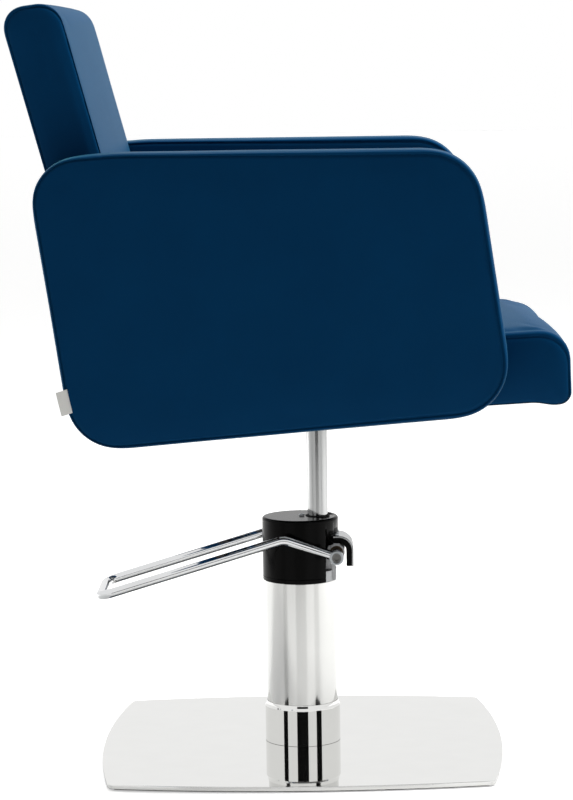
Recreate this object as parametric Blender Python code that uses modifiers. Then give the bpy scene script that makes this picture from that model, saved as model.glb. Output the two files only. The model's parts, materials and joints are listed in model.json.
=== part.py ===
"""Hairdressing chair: a block-armed upholstered seat on a foot-pumped hydraulic column.

Units are metres and +Z is up. The origin is on the floor under the column's axis, +X is the
sitter's front and -Y is the sitter's right. The seat is shown part way up its stroke.
"""

import math

import bmesh
import bpy
from mathutils import Matrix, Vector

# Fits
FIT = 0.0003
SLIP = 0.0004
WELD = 0.00001
CUT_OVERRUN = 0.02

# Facets of round pieces
ROUND_STEPS = 36
INNER_STEPS = 24
SMALL_STEPS = 12
CORNER_STEPS = 5
HEX_STEPS = 6
LEVER_RESOLUTION = 4
SPRING_RESOLUTION = 1
SHARP_ANGLE = math.radians(40)

# Floor plate
PAD_THICK = 0.0012
PAD_INSET = 0.004
PLATE_THICK = 0.0055
PLATE_HALF = 0.2545
PLATE_BOW = 0.020
PLATE_CORNER = 0.010
PLATE_EDGE = 0.0008
BOW_STEPS = 8

# Column, collar and cap
COLUMN_R = 0.045
COLUMN_WALL = 0.0013
COLUMN_LENGTH = 0.2085
COLLAR_WALL = 0.0027
COLLAR_HEIGHT = 0.0455
COLLAR_FLARE = 0.0065
COLLAR_LIP = 0.0007
CAP_R = 0.0485
CAP_HEIGHT = 0.081
CAP_WALL = 0.0025
CAP_RIM = 0.004
CAP_SCREW_GAP = 0.0015
CAP_SCREW_HEAD_R = 0.0036
CAP_SCREW_HEAD = 0.002
CAP_SCREW_R = 0.002
WINDOW_ANGLE = math.radians(48)

# Pump body
FLANGE_HEIGHT = 0.010
TANK_GAP = 0.0015
HEAD_HEIGHT = 0.0135
CYLINDER_R = 0.0152
CYLINDER_FLOOR = 0.014
BASE_BOLT_REACH = 0.0235
BASE_BOLT_R = 0.004
BASE_BOLT_HEAD_R = 0.0078
BASE_BOLT_HEAD = 0.0038
BASE_BOLT_GRIP = 0.009

# Piston and rod
ROD_X = 0.0225
ROD_R = 0.013
ROD_EDGE = 0.0016
BUSH_WALL = 0.0028
BUSH_LENGTH = 0.034
WIPER_WALL = 0.0018
WIPER_LIP = 0.0008
PISTON_HEIGHT = 0.020
SEAL_HEIGHT = 0.004
SEAL_DEPTH = 0.0025
SPIGOT_R = 0.004
SPIGOT_HEIGHT = 0.010
BEARING_HEIGHT = 0.004
LIFT_DOWN = 0.105

# Lever, shaft and hood
PIVOT_X = 0.046
PIVOT_RISE = 0.0365
SHAFT_R = 0.006
LUG_THICK = 0.008
LUG_Y = 0.016
LUG_BOSS_R = 0.0105
LUG_BOSS_STEPS = 12
LUG_POST = -0.0015
LUG_TOP_FRONT = 0.004
LUG_BUSH_WALL = 0.002
LEVER_R = 0.006
LEVER_SIDE_GAP = 0.0015
LEVER_EYE_R = 0.0095
BEND_BACK = 0.066
BEND_RISE = 0.0225
PEDAL_BACK = 0.299
PEDAL_DROP = 0.047
BEND_RADIUS = 0.016
PEDAL_RADIUS = 0.020
PIVOT_HEAD_R = 0.009
PIVOT_HEAD = 0.004
PIVOT_SOCKET_R = 0.0035
PIVOT_SOCKET = 0.0025
PIVOT_SCREW_R = 0.003
PIVOT_SCREW = 0.012
ROCKER_THICK = 0.008
ROCKER_R = 0.0105
ROCKER_GAP = 0.003
NOSE_R = 0.006
NOSE_STEP = 0.0012
HOOD_THICK = 0.0025
HOOD_RISE = 0.020
HOOD_REACH = 0.0205
HOOD_DROP = 0.0375
HOOD_RADIUS = 0.0175
HOOD_SIDE = 0.0035
HOOD_SCREW_R = 0.002
HOOD_SCREW_HEAD_R = 0.0035
HOOD_SCREW_HEAD = 0.002
HOOD_SCREW_GRIP = 0.008

# Plunger and spring
PLUNGER_X = 0.016
PLUNGER_R = 0.0055
PLUNGER_NECK_R = 0.0037
PLUNGER_DEPTH = 0.070
BUTTON_R = 0.0075
BUTTON_HEIGHT = 0.004
SPRING_WELL = 0.012
SPRING_WIRE_R = 0.0006
SPRING_TURNS = 5
SPRING_TURN_POINTS = 8

# Seat hub and mount plate
SEAT_RISE = 0.1545
HUB_R = 0.022
HUB_DROP = 0.0395
HUB_SCREW_R = 0.004
HUB_SCREW_OUT = 0.003
MOUNT_SIDE = 0.190
MOUNT_THICK = 0.005
MOUNT_BOLT_REACH = 0.070
MOUNT_BOLT_R = 0.004
MOUNT_BOLT_HEAD_R = 0.0065
MOUNT_BOLT_HEAD = 0.005

# Seat frame and cushion
SEAT_RAKE = math.radians(3)
SEAT_FRONT = 0.3065
SEAT_HEIGHT = 0.079
SEAT_HALF = 0.2325
SEAT_TOP_CROWN = 0.0125
SEAT_NOSE_CROWN = 0.0105
SEAT_NOSE_ROUND = 0.027
SEAT_FRONT_CROWN = 0.005
SEAT_TUCK = 0.002
SEAT_SKIRT = 0.0105
SEAT_NOSE = 0.018
SEAT_RADII = (0.008, 0.010, 0.034, 0.010)
RAIL_INSET = 0.0015
RAIL_HEIGHT = 0.038
RAIL_WIDTH = 0.020
BOARD_THICK = 0.012

# Cushion sides and crowns, as shares of the half width: what a side draws in, and how the crown rises
SIDE_STEPS = ((1.0, 0.030), (0.9965, 0.010), (0.989, 0.0))
CROWN_STEPS = ((0.974, 0.30), (0.914, 0.55), (0.742, 0.80), (0.441, 0.95))

# Arms
ARM_GAP = 0.0015
ARM_THICK = 0.060
ARM_CORNERS = ((-0.2832, -0.0316), (0.2362, 0.0091), (0.1914, 0.3175), (-0.3335, 0.3140))
ARM_RADII = (0.0605, 0.0625, 0.064, 0.053)
ARM_CORNER_STEPS = 8
ARM_RIM = 0.016
ARM_CROWN = 0.003
ARM_SIDE_CROWN = 0.0010
ARM_FACE_STEPS = ((0.0, 0.090), (0.2, 0.055), (0.6, 0.025))
ARM_EDGE_STEPS = ((0.0, 0.010), (0.0015, 0.004), (0.004, 0.0012), (0.010, 0.0))
ARM_LINING_STEPS = ((0.4, 0.030), (0.8, 0.055), (1.0, 0.090))
ARM_CORE_THICK = 0.015
ARM_SHELL = 0.020
ARM_BOLT_PLACES = (-0.085, 0.155)
ARM_BOLT_RISE = 0.024
ARM_BOLT_R = 0.004
ARM_BOLT_HEAD_R = 0.0065
ARM_BOLT_HEAD = 0.006
ARM_BOLT_BITE = 0.010
LEAST_RADIUS = 0.004

# Sewn tab on the right arm
TAB_LENGTH = 0.0285
TAB_OUT = 0.0085
TAB_IN = 0.0085
TAB_THICK = 0.0010
TAB_ALONG = 0.061
TAB_FROM_FACE = 0.0045

# Backrest
BACK_X = -0.2062
BACK_RISE = 0.0265
BACK_LEAN = math.radians(15)
BACK_THICK = 0.0675
BACK_HEIGHT = 0.4835
BACK_TOP_FALL = 0.0095
BACK_RADII = (0.012, 0.012, 0.028, 0.025)
BACK_CROWN = 0.005
BACK_FRONT_CROWN = 0.002
BACK_TOP_CROWN = 0.0055
BACK_SEAT_GAP = 0.0015
BACK_BOARD_THICK = 0.012
BACK_BOARD_HALF = 0.185
BACK_BOARD_RISE = 0.400
BACK_TONGUE = 0.046
BRACKET_Y = 0.130
BRACKET_WIDTH = 0.034
BRACKET_THICK = 0.004
BRACKET_REACH = 0.075
BRACKET_TOP = 0.004
BRACKET_RADIUS = 0.008
BRACKET_BOLT_DOWN = 0.018
BRACKET_BOLT_R = 0.004
BRACKET_BOLT_HEAD_R = 0.0065
BRACKET_BOLT_HEAD = 0.005

# Heights and radii that follow from the above
PLATE_BASE = PAD_THICK + FIT
PLATE_TOP = PLATE_BASE + PLATE_THICK
PUMP_BASE = PLATE_TOP + FIT
SLEEVE_TOP = PUMP_BASE + COLUMN_LENGTH
SLEEVE_INNER = COLUMN_R - COLUMN_WALL
HEAD_BASE = SLEEVE_TOP + FIT
HEAD_TOP = HEAD_BASE + HEAD_HEIGHT
CAP_TOP = HEAD_BASE + CAP_HEIGHT
CAP_INNER = CAP_R - CAP_WALL
HEAD_R = CAP_INNER - FIT
BUSH_INNER = ROD_R + SLIP
BUSH_OUTER = BUSH_INNER + BUSH_WALL
WIPER_OUTER = BUSH_INNER + WIPER_WALL
CAP_SCREW_X = ROD_X - WIPER_OUTER - CAP_SCREW_GAP - CAP_SCREW_HEAD_R
PISTON_BASE = PUMP_BASE + CYLINDER_FLOOR + LIFT_DOWN + SLIP
PISTON_TOP = PISTON_BASE + PISTON_HEIGHT
PIVOT_Z = SLEEVE_TOP + PIVOT_RISE
LUG_BORE = SHAFT_R + SLIP + LUG_BUSH_WALL
LEG_Y = CAP_R + LEVER_SIDE_GAP + LEVER_R
ROCKER_Y = LUG_Y + LUG_THICK / 2 + ROCKER_GAP + ROCKER_THICK / 2
BUTTON_TOP = PIVOT_Z - NOSE_R - FIT
SEAT_Z = CAP_TOP + SEAT_RISE
RAIL_TOP = RAIL_INSET + RAIL_HEIGHT
BOARD_BASE = RAIL_TOP + FIT
BOARD_TOP = BOARD_BASE + BOARD_THICK
MOUNT_TOP = BOARD_BASE - FIT
MOUNT_BASE = MOUNT_TOP - MOUNT_THICK
FRAME_HALF = SEAT_HALF - SEAT_SKIRT
FRAME_FRONT = SEAT_FRONT - SEAT_NOSE
ARM_INNER_Y = SEAT_HALF + ARM_GAP
BACK_HALF = SEAT_HALF


def clear_scene():
    """Removes what the file opened with."""
    for obj in list(bpy.data.objects):
        bpy.data.objects.remove(obj, do_unlink=True)


def collection(name, hidden=False):
    """A collection of the scene, hidden from renders if it holds helpers."""
    made = bpy.data.collections.new(name)
    made.hide_render = hidden
    bpy.context.scene.collection.children.link(made)
    return made


def material(name, colour, roughness, metallic=0.0):
    """A Principled material from an sRGB hex colour."""
    made = bpy.data.materials.new(name)
    made.use_nodes = True
    shader = made.node_tree.nodes["Principled BSDF"]
    parts = [int(colour[i : i + 2], 16) / 255 for i in (1, 3, 5)]
    linear = [((c + 0.055) / 1.055) ** 2.4 if c > 0.04045 else c / 12.92 for c in parts]
    shader.inputs["Base Color"].default_value = (*linear, 1.0)
    shader.inputs["Roughness"].default_value = roughness
    shader.inputs["Metallic"].default_value = metallic
    return made


clear_scene()
PARTS = collection("hairdressing_chair")
CUTTERS = collection("cutters", hidden=True)

VINYL = material("navy_upholstery", "#0E3A5C", 0.55)
TAB_CLOTH = material("woven_tab", "#C9CBCE", 0.9)
POLISHED = material("polished_steel", "#D9DADB", 0.08, 1.0)
SATIN = material("satin_steel", "#C6C7C8", 0.32, 1.0)
ROD_STEEL = material("ground_steel", "#A9ABAD", 0.25, 1.0)
CAST = material("cast_metal", "#8A8C8E", 0.55, 0.8)
ZINC = material("zinc_steel", "#9EA2A6", 0.4, 1.0)
BRONZE = material("bronze", "#A8763E", 0.4, 1.0)
BLACK_PLASTIC = material("black_plastic", "#161617", 0.4)
RUBBER = material("black_rubber", "#101011", 0.8)
PLYWOOD = material("plywood", "#2A2521", 0.7)


def place(name, mesh, finish, parent=None, location=(0, 0, 0), rotation=(0, 0, 0)):
    """Adds a mesh as one named piece of the chair."""
    mesh.name = name
    mesh.materials.append(finish)
    obj = bpy.data.objects.new(name, mesh)
    PARTS.objects.link(obj)
    obj.parent = parent
    obj.location = location
    obj.rotation_euler = rotation
    return obj


def cutter(name, mesh, parent=None, location=(0, 0, 0), rotation=(0, 0, 0)):
    """Adds a mesh that only shapes other pieces."""
    mesh.name = name
    obj = bpy.data.objects.new(name, mesh)
    CUTTERS.objects.link(obj)
    obj.parent = parent
    obj.location = location
    obj.rotation_euler = rotation
    obj.hide_render = True
    obj.display_type = "WIRE"
    return obj


def empty(name, parent=None, location=(0, 0, 0), rotation=(0, 0, 0)):
    """A frame that carries the pieces of one body."""
    obj = bpy.data.objects.new(name, None)
    PARTS.objects.link(obj)
    obj.parent = parent
    obj.location = location
    obj.rotation_euler = rotation
    return obj


def boolean(target, other, operation):
    """Cuts another object from a piece, or joins it on."""
    step = target.modifiers.new(f"{operation.lower()} {other.name}", "BOOLEAN")
    step.operation = operation
    step.object = other
    step.solver = "EXACT"


def cut(target, *others):
    """Cuts each of the other objects from a piece."""
    for other in others:
        boolean(target, other, "DIFFERENCE")


def join(target, *others):
    """Joins each of the other objects to a piece."""
    for other in others:
        boolean(target, other, "UNION")


def box_mesh(low, high):
    """A box between two corners."""
    work = bmesh.new()
    size = Vector(high) - Vector(low)
    middle = (Vector(high) + Vector(low)) / 2
    bmesh.ops.create_cube(work, size=1, matrix=Matrix.Translation(middle) @ Matrix.Diagonal((*size, 1)))
    mesh = bpy.data.meshes.new("box")
    work.to_mesh(mesh)
    work.free()
    return mesh


def profile_mesh(profile, closed):
    """The edges of a turned piece's profile, given as radius and height."""
    mesh = bpy.data.meshes.new("profile")
    count = len(profile)
    edges = [(i, i + 1) for i in range(count - 1)]
    if closed:
        edges.append((count - 1, 0))
    mesh.from_pydata([(r, 0, z) for r, z in profile], edges, [])
    return mesh


def screw(obj, steps):
    """Turns an object's profile round its own Z axis."""
    step = obj.modifiers.new("turn", "SCREW")
    step.axis = "Z"
    step.steps = steps
    step.render_steps = steps
    step.use_merge_vertices = True
    step.merge_threshold = WELD
    step.use_smooth_shade = True


def turned(name, profile, finish, steps=ROUND_STEPS, **where):
    """A turned piece. Its profile runs down the outside, from the axis to the axis or as a loop."""
    closed = profile[0][0] > 0
    obj = place(name, profile_mesh(profile, closed), finish, **where)
    screw(obj, steps)
    return obj


def turned_cutter(name, profile, steps=ROUND_STEPS, **where):
    """A turned shape that only cuts or joins."""
    closed = profile[0][0] > 0
    obj = cutter(name, profile_mesh(profile, closed), **where)
    screw(obj, steps)
    return obj


def rod_profile(radius, top, bottom):
    """A plain solid rod."""
    return [(0, top), (radius, top), (radius, bottom), (0, bottom)]


def ring_profile(outer, inner, top, bottom):
    """A plain ring."""
    return [(outer, top), (outer, bottom), (inner, bottom), (inner, top)]


def screw_profile(head_r, head, radius, length):
    """A cap screw whose head stands on its own XY plane."""
    return [(0, head), (head_r, head), (head_r, 0), (radius, 0), (radius, -length), (0, -length)]


def inset(corners, distance):
    """The same convex polygon with every side moved in."""
    moved = []
    count = len(corners)
    for i, corner in enumerate(corners):
        here = Vector(corner)
        back = (Vector(corners[i - 1]) - here).normalized()
        ahead = (Vector(corners[(i + 1) % count]) - here).normalized()
        half = back.angle(ahead) / 2
        moved.append(here + (back + ahead).normalized() * (distance / math.sin(half)))
    return moved


def arc_between(here, back, ahead, radius, steps):
    """Points of the arc that rounds a corner between two unit directions."""
    half = back.angle(ahead) / 2
    reach = radius / math.tan(half)
    centre = here + (back + ahead).normalized() * (radius / math.sin(half))
    start = (here + back * reach - centre).normalized()
    end = (here + ahead * reach - centre).normalized()
    return [centre + start.slerp(end, k / steps) * radius for k in range(steps + 1)]


def rounded(corners, radii, steps=CORNER_STEPS):
    """A closed outline with each corner rounded by its own radius."""
    points = []
    count = len(corners)
    for i, corner in enumerate(corners):
        here = Vector(corner).to_3d()
        back = (Vector(corners[i - 1]).to_3d() - here).normalized()
        ahead = (Vector(corners[(i + 1) % count]).to_3d() - here).normalized()
        points += arc_between(here, back, ahead, radii[i], steps)
    return [point.to_2d() for point in points]


def rounded_path(points, radii, steps=CORNER_STEPS):
    """An open path with each inner corner rounded by its own radius."""
    path = [Vector(points[0])]
    for i in range(1, len(points) - 1):
        here = Vector(points[i])
        back = (Vector(points[i - 1]) - here).normalized()
        ahead = (Vector(points[i + 1]) - here).normalized()
        path += arc_between(here, back, ahead, radii[i - 1], steps)
    path.append(Vector(points[-1]))
    return path


def loft_mesh(rings):
    """A closed mesh through rings of equal counts, flat at both ends."""
    work = bmesh.new()
    loops = [[work.verts.new(point) for point in ring] for ring in rings]
    for first, second in zip(loops, loops[1:]):
        count = len(first)
        for i in range(count):
            j = (i + 1) % count
            work.faces.new((first[i], first[j], second[j], second[i]))
    work.faces.new(loops[0])
    work.faces.new(loops[-1])
    bmesh.ops.recalc_face_normals(work, faces=work.faces)
    mesh = bpy.data.meshes.new("loft")
    work.to_mesh(mesh)
    work.free()
    mesh.shade_smooth()
    mesh.set_sharp_from_angle(angle=SHARP_ANGLE)
    return mesh


def curve_mesh(curve):
    """The mesh of a curve, with its caps welded on."""
    helper = bpy.data.objects.new("helper", curve)
    bpy.context.scene.collection.objects.link(helper)
    graph = bpy.context.evaluated_depsgraph_get()
    mesh = bpy.data.meshes.new_from_object(helper.evaluated_get(graph))
    bpy.data.objects.remove(helper)
    work = bmesh.new()
    work.from_mesh(mesh)
    bmesh.ops.remove_doubles(work, verts=work.verts, dist=WELD)
    bmesh.ops.recalc_face_normals(work, faces=work.faces)
    work.to_mesh(mesh)
    work.free()
    return mesh


def flat_mesh(outline, thickness, edge=0.0):
    """A flat plate on its own outline, centred on its XY plane, with rounded edges if asked."""
    curve = bpy.data.curves.new("outline", "CURVE")
    curve.dimensions = "2D"
    curve.fill_mode = "BOTH"
    curve.extrude = thickness / 2 - edge
    curve.bevel_depth = edge
    curve.bevel_resolution = 1
    curve.offset = -edge
    spline = curve.splines.new("POLY")
    spline.points.add(len(outline) - 1)
    for point, (x, y) in zip(spline.points, outline):
        point.co = (x, y, 0, 1)
    spline.use_cyclic_u = True
    return curve_mesh(curve)


def tube_mesh(points, radius, resolution):
    """A round tube along a path, with flat ends."""
    curve = bpy.data.curves.new("path", "CURVE")
    curve.dimensions = "3D"
    curve.bevel_depth = radius
    curve.bevel_resolution = resolution
    curve.use_fill_caps = True
    spline = curve.splines.new("POLY")
    spline.points.add(len(points) - 1)
    for point, place_at in zip(spline.points, points):
        point.co = (*place_at, 1)
    return curve_mesh(curve)


def strip(name, path, width, thickness, finish, **where):
    """A bent metal strip along a path in XZ, of the given width in Y."""
    mesh = bpy.data.meshes.new("strip")
    points = [(x, y, z) for x, z in path for y in (-width / 2, width / 2)]
    faces = [(2 * i, 2 * i + 1, 2 * i + 3, 2 * i + 2) for i in range(len(path) - 1)]
    mesh.from_pydata(points, [], faces)
    obj = place(name, mesh, finish, **where)
    step = obj.modifiers.new("thickness", "SOLIDIFY")
    step.thickness = thickness
    step.offset = 0
    step.use_even_offset = True
    return obj


def plate_outline(shrink):
    """The floor plate's square with bowed sides and small round corners."""
    half = PLATE_HALF - shrink
    corner = half - PLATE_BOW
    side = [corner * (2 * k / BOW_STEPS - 1) for k in range(BOW_STEPS + 1)]
    bowed = [(half - PLATE_BOW * (t / corner) ** 2, t) for t in side]
    points = []
    for quarter in range(4):
        turn = Matrix.Rotation(quarter * math.pi / 2, 2)
        following = turn @ Matrix.Rotation(math.pi / 2, 2)
        run = [turn @ Vector(point) for point in bowed]
        here = run[-1].to_3d()
        back = (run[-2].to_3d() - here).normalized()
        ahead = ((following @ Vector(bowed[1])).to_3d() - here).normalized()
        points += run[1:-1]
        points += [p.to_2d() for p in arc_between(here, back, ahead, PLATE_CORNER, CORNER_STEPS)]
    return points


def base_bolt_profile(grow):
    """A countersunk bolt with its flat head at the plate's underside."""
    head = BASE_BOLT_HEAD_R + grow
    shank = BASE_BOLT_R + grow
    top = PUMP_BASE + BASE_BOLT_GRIP + grow
    bottom = PLATE_BASE - grow
    return [(0, top), (shank, top), (shank, PLATE_BASE + BASE_BOLT_HEAD), (head, bottom), (0, bottom)]


def make_floor():
    """Anti-slip sheet, floor plate and the bolts that come up through it."""
    sheet = flat_mesh(plate_outline(PAD_INSET), PAD_THICK)
    place("floor_pad", sheet, RUBBER, location=(0, 0, PAD_THICK / 2))
    slab = flat_mesh(plate_outline(0), PLATE_THICK, PLATE_EDGE)
    plate = place("base_plate", slab, POLISHED, location=(0, 0, PLATE_BASE + PLATE_THICK / 2))
    holes = []
    corners = [(1, 1), (-1, 1), (-1, -1), (1, -1)]
    for number, (along, across) in enumerate(corners, 1):
        spot = (along * BASE_BOLT_REACH, across * BASE_BOLT_REACH, 0)
        turned(f"base_bolt_{number}", base_bolt_profile(0), ZINC, SMALL_STEPS, location=spot)
        hole = turned_cutter(f"base_hole_{number}", base_bolt_profile(FIT), SMALL_STEPS, location=spot)
        holes.append(hole)
    cut(plate, *holes)
    return holes


def lug_outline():
    """A lug's side outline: a post on the head, a round boss for the shaft and a flat top for the hood."""
    back = ROD_X + BUSH_OUTER + SLIP
    top = PIVOT_Z + HOOD_RISE - HOOD_THICK / 2 - FIT
    start = -math.acos(LUG_POST / LUG_BOSS_R)
    end = math.acos(LUG_TOP_FRONT / LUG_BOSS_R)
    turn = [start + (end - start) * k / LUG_BOSS_STEPS for k in range(LUG_BOSS_STEPS + 1)]
    boss = [(PIVOT_X + LUG_BOSS_R * math.cos(a), PIVOT_Z + LUG_BOSS_R * math.sin(a)) for a in turn]
    foot = [(back, HEAD_BASE + FIT), (PIVOT_X + LUG_POST, HEAD_BASE + FIT)]
    return [*foot, *boss, (PIVOT_X + LUG_TOP_FRONT, top), (back, top)]


def make_pump(base_holes, shaft_way):
    """Pump body with its off-centre cylinder, plunger well and two lugs for the lever shaft."""
    flange = SLEEVE_INNER - SLIP
    tank = SLEEVE_INNER - TANK_GAP
    flange_top = PUMP_BASE + FLANGE_HEIGHT
    profile = [(0, HEAD_TOP), (HEAD_R, HEAD_TOP), (HEAD_R, HEAD_BASE), (tank, HEAD_BASE)]
    profile += [(tank, flange_top), (flange, flange_top), (flange, PUMP_BASE), (0, PUMP_BASE)]
    body = turned("pump_body", profile, CAST)
    outline = lug_outline()
    for side in (-1, 1):
        faces = (side * LUG_Y - LUG_THICK / 2, side * LUG_Y + LUG_THICK / 2)
        rings = [[(x, y, z) for x, z in outline] for y in faces]
        join(body, cutter(f"lug_{side}", loft_mesh(rings)))
    floor = PUMP_BASE + CYLINDER_FLOOR
    shoulder = HEAD_TOP - BUSH_LENGTH - FIT
    over = HEAD_TOP + CUT_OVERRUN
    well = HEAD_TOP - SPRING_WELL
    bore = [(0, over), (BUSH_OUTER + FIT, over), (BUSH_OUTER + FIT, shoulder)]
    bore += [(CYLINDER_R, shoulder), (CYLINDER_R, floor), (0, floor)]
    deep = BUTTON_TOP - BUTTON_HEIGHT - PLUNGER_DEPTH - CUT_OVERRUN
    plunger_bore = [(0, over), (BUTTON_R + SLIP, over), (BUTTON_R + SLIP, well)]
    plunger_bore += [(PLUNGER_R + SLIP, well), (PLUNGER_R + SLIP, deep), (0, deep)]
    cut(body, turned_cutter("cylinder_bore", bore, INNER_STEPS, location=(ROD_X, 0, 0)))
    spot = (PLUNGER_X, ROCKER_Y, 0)
    cut(body, turned_cutter("plunger_bore", plunger_bore, SMALL_STEPS, location=spot))
    cut(body, shaft_way, *base_holes)
    return body


def make_column():
    """Column sleeve and the polished collar at its foot."""
    turned("column_sleeve", ring_profile(COLUMN_R, SLEEVE_INNER, SLEEVE_TOP, PUMP_BASE), SATIN)
    inner = COLUMN_R + FIT
    outer = inner + COLLAR_WALL
    shoulder = PUMP_BASE + COLLAR_HEIGHT
    top = shoulder + COLLAR_FLARE
    lip = inner + COLLAR_LIP
    collar = [(lip, top), (outer, shoulder), (outer, PUMP_BASE), (inner, PUMP_BASE), (inner, top)]
    turned("foot_collar", collar, POLISHED)


def cap_profile():
    """Cap wall, rounded rim and top, from the top's centre down and back up inside."""
    crown = CAP_TOP - CAP_RIM
    arc = [k * math.pi / 2 / CORNER_STEPS for k in range(CORNER_STEPS + 1)]
    rim = [(CAP_R - CAP_RIM + CAP_RIM * math.sin(a), crown + CAP_RIM * math.cos(a)) for a in arc]
    ceiling = CAP_TOP - CAP_WALL
    inside = [(CAP_INNER, HEAD_BASE), (CAP_INNER, ceiling), (0, ceiling)]
    return [(0, CAP_TOP), *rim, (CAP_R, HEAD_BASE), *inside]


def window_mesh(half_width, top):
    """A block that opens the front of the cap up to a height."""
    low = (ROD_X, -half_width, HEAD_BASE - CUT_OVERRUN)
    return box_mesh(low, (CAP_R + CUT_OVERRUN, half_width, top))


def make_cap():
    """Black cap over the pump head, open in front for the lever's shaft."""
    cap = turned("head_cap", cap_profile(), BLACK_PLASTIC)
    low_window = window_mesh(CAP_R * math.sin(WINDOW_ANGLE), PIVOT_Z + ROCKER_R + SLIP)
    hood_half = LUG_Y + LUG_THICK / 2 + HOOD_SIDE
    high_window = window_mesh(hood_half + SLIP, PIVOT_Z + HOOD_RISE + HOOD_THICK + HOOD_SCREW_HEAD)
    cut(cap, cutter("low_window", low_window), cutter("high_window", high_window))
    rod_way = rod_profile(WIPER_OUTER + FIT, CAP_TOP + CUT_OVERRUN, CAP_TOP - CAP_WALL - CUT_OVERRUN)
    cut(cap, turned_cutter("rod_way", rod_way, INNER_STEPS, location=(ROD_X, 0, 0)))
    length = CAP_TOP - HEAD_TOP + HEAD_HEIGHT / 2
    grip = screw_profile(CAP_SCREW_HEAD_R, CAP_SCREW_HEAD, CAP_SCREW_R, length)
    spot = (CAP_SCREW_X, 0, CAP_TOP + FIT)
    turned("cap_screw", grip, ZINC, SMALL_STEPS, location=spot)
    way = rod_profile(CAP_SCREW_R + FIT, CUT_OVERRUN, -length - FIT)
    return turned_cutter("cap_screw_way", way, SMALL_STEPS, location=spot), cap


def make_rod_guides():
    """Bronze guide bush in the pump head and the wiper in the cap's top."""
    bush = ring_profile(BUSH_OUTER, BUSH_INNER, HEAD_TOP, HEAD_TOP - BUSH_LENGTH)
    turned("rod_bush", bush, BRONZE, INNER_STEPS, location=(ROD_X, 0, 0))
    wiper = ring_profile(WIPER_OUTER, BUSH_INNER, CAP_TOP + WIPER_LIP, CAP_TOP - CAP_WALL)
    turned("rod_wiper", wiper, RUBBER, INNER_STEPS, location=(ROD_X, 0, 0))


def make_hood(body):
    """Bent strap over the lever's shaft, screwed to both lugs."""
    level = PIVOT_Z + HOOD_RISE
    front = PIVOT_X + HOOD_REACH
    back = ROD_X + BUSH_OUTER + SLIP
    corners = [(back, 0, level), (front, 0, level), (front, 0, level - HOOD_DROP)]
    path = [(p.x, p.z) for p in rounded_path(corners, [HOOD_RADIUS])]
    width = 2 * (LUG_Y + LUG_THICK / 2 + HOOD_SIDE)
    hood = strip("lever_hood", path, width, HOOD_THICK, SATIN)
    grip = screw_profile(HOOD_SCREW_HEAD_R, HOOD_SCREW_HEAD, HOOD_SCREW_R, HOOD_THICK + HOOD_SCREW_GRIP)
    way = rod_profile(HOOD_SCREW_R + FIT, CUT_OVERRUN, -HOOD_THICK - HOOD_SCREW_GRIP - SLIP)
    for side, word in ((-1, "right"), (1, "left")):
        spot = (PIVOT_X, side * LUG_Y, level + HOOD_THICK / 2 + FIT)
        turned(f"hood_screw_{word}", grip, ZINC, SMALL_STEPS, location=spot)
        hole = turned_cutter(f"hood_hole_{word}", way, SMALL_STEPS, location=spot)
        cut(hood, hole)
        cut(body, hole)


def make_lever(pivot):
    """U-shaped foot lever with its shaft, rocker arm, end screws and the bushes in the lugs."""
    across = (math.pi / 2, 0, 0)
    half_shaft = LEG_Y + LEVER_R
    bend = (-BEND_BACK, -LEG_Y, BEND_RISE)
    pedal = (-PEDAL_BACK, -LEG_Y, -PEDAL_DROP)
    right_side = [(0, -LEG_Y, 0), bend, pedal]
    left_side = [(x, -y, z) for x, y, z in reversed(right_side)]
    radii = [BEND_RADIUS, PEDAL_RADIUS, PEDAL_RADIUS, BEND_RADIUS]
    route = rounded_path(right_side + left_side, radii)
    lever = place("pedal_lever", tube_mesh(route, LEVER_R, LEVER_RESOLUTION), ROD_STEEL, pivot)
    eye = rod_profile(LEVER_EYE_R, LEVER_R, -LEVER_R)
    for side, word in ((-1, "right"), (1, "left")):
        where = {"parent": pivot, "location": (0, side * LEG_Y, 0), "rotation": across}
        join(lever, turned_cutter(f"eye_{word}", eye, SMALL_STEPS, **where))
        bush = ring_profile(LUG_BORE, SHAFT_R + SLIP, LUG_THICK / 2, -LUG_THICK / 2)
        lug = (PIVOT_X, side * LUG_Y, PIVOT_Z)
        turned(f"pivot_bush_{word}", bush, BRONZE, SMALL_STEPS, location=lug, rotation=across)
    shaft_hole = rod_profile(SHAFT_R + FIT, half_shaft + CUT_OVERRUN, -half_shaft - CUT_OVERRUN)
    shaft_way = turned_cutter("shaft_way", shaft_hole, SMALL_STEPS, parent=pivot, rotation=across)
    cut(lever, shaft_way)
    shaft_rod = rod_profile(SHAFT_R, half_shaft, -half_shaft)
    shaft = turned("pivot_shaft", shaft_rod, ROD_STEEL, SMALL_STEPS, parent=pivot, rotation=across)
    grip = screw_profile(PIVOT_HEAD_R, PIVOT_HEAD, PIVOT_SCREW_R, PIVOT_SCREW)
    way = rod_profile(PIVOT_SCREW_R + FIT, CUT_OVERRUN, -PIVOT_SCREW - FIT)
    socket = rod_profile(PIVOT_SOCKET_R, CUT_OVERRUN, PIVOT_HEAD - PIVOT_SOCKET)
    for side, word in ((-1, "right"), (1, "left")):
        facing = (-side * math.pi / 2, 0, 0)
        where = {"parent": pivot, "location": (0, side * (half_shaft + FIT), 0), "rotation": facing}
        bolt = turned(f"pivot_bolt_{word}", grip, ZINC, SMALL_STEPS, **where)
        cut(bolt, turned_cutter(f"socket_{word}", socket, HEX_STEPS, **where))
        cut(shaft, turned_cutter(f"end_hole_{word}", way, SMALL_STEPS, **where))
    make_rocker(pivot, shaft_way)


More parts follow.
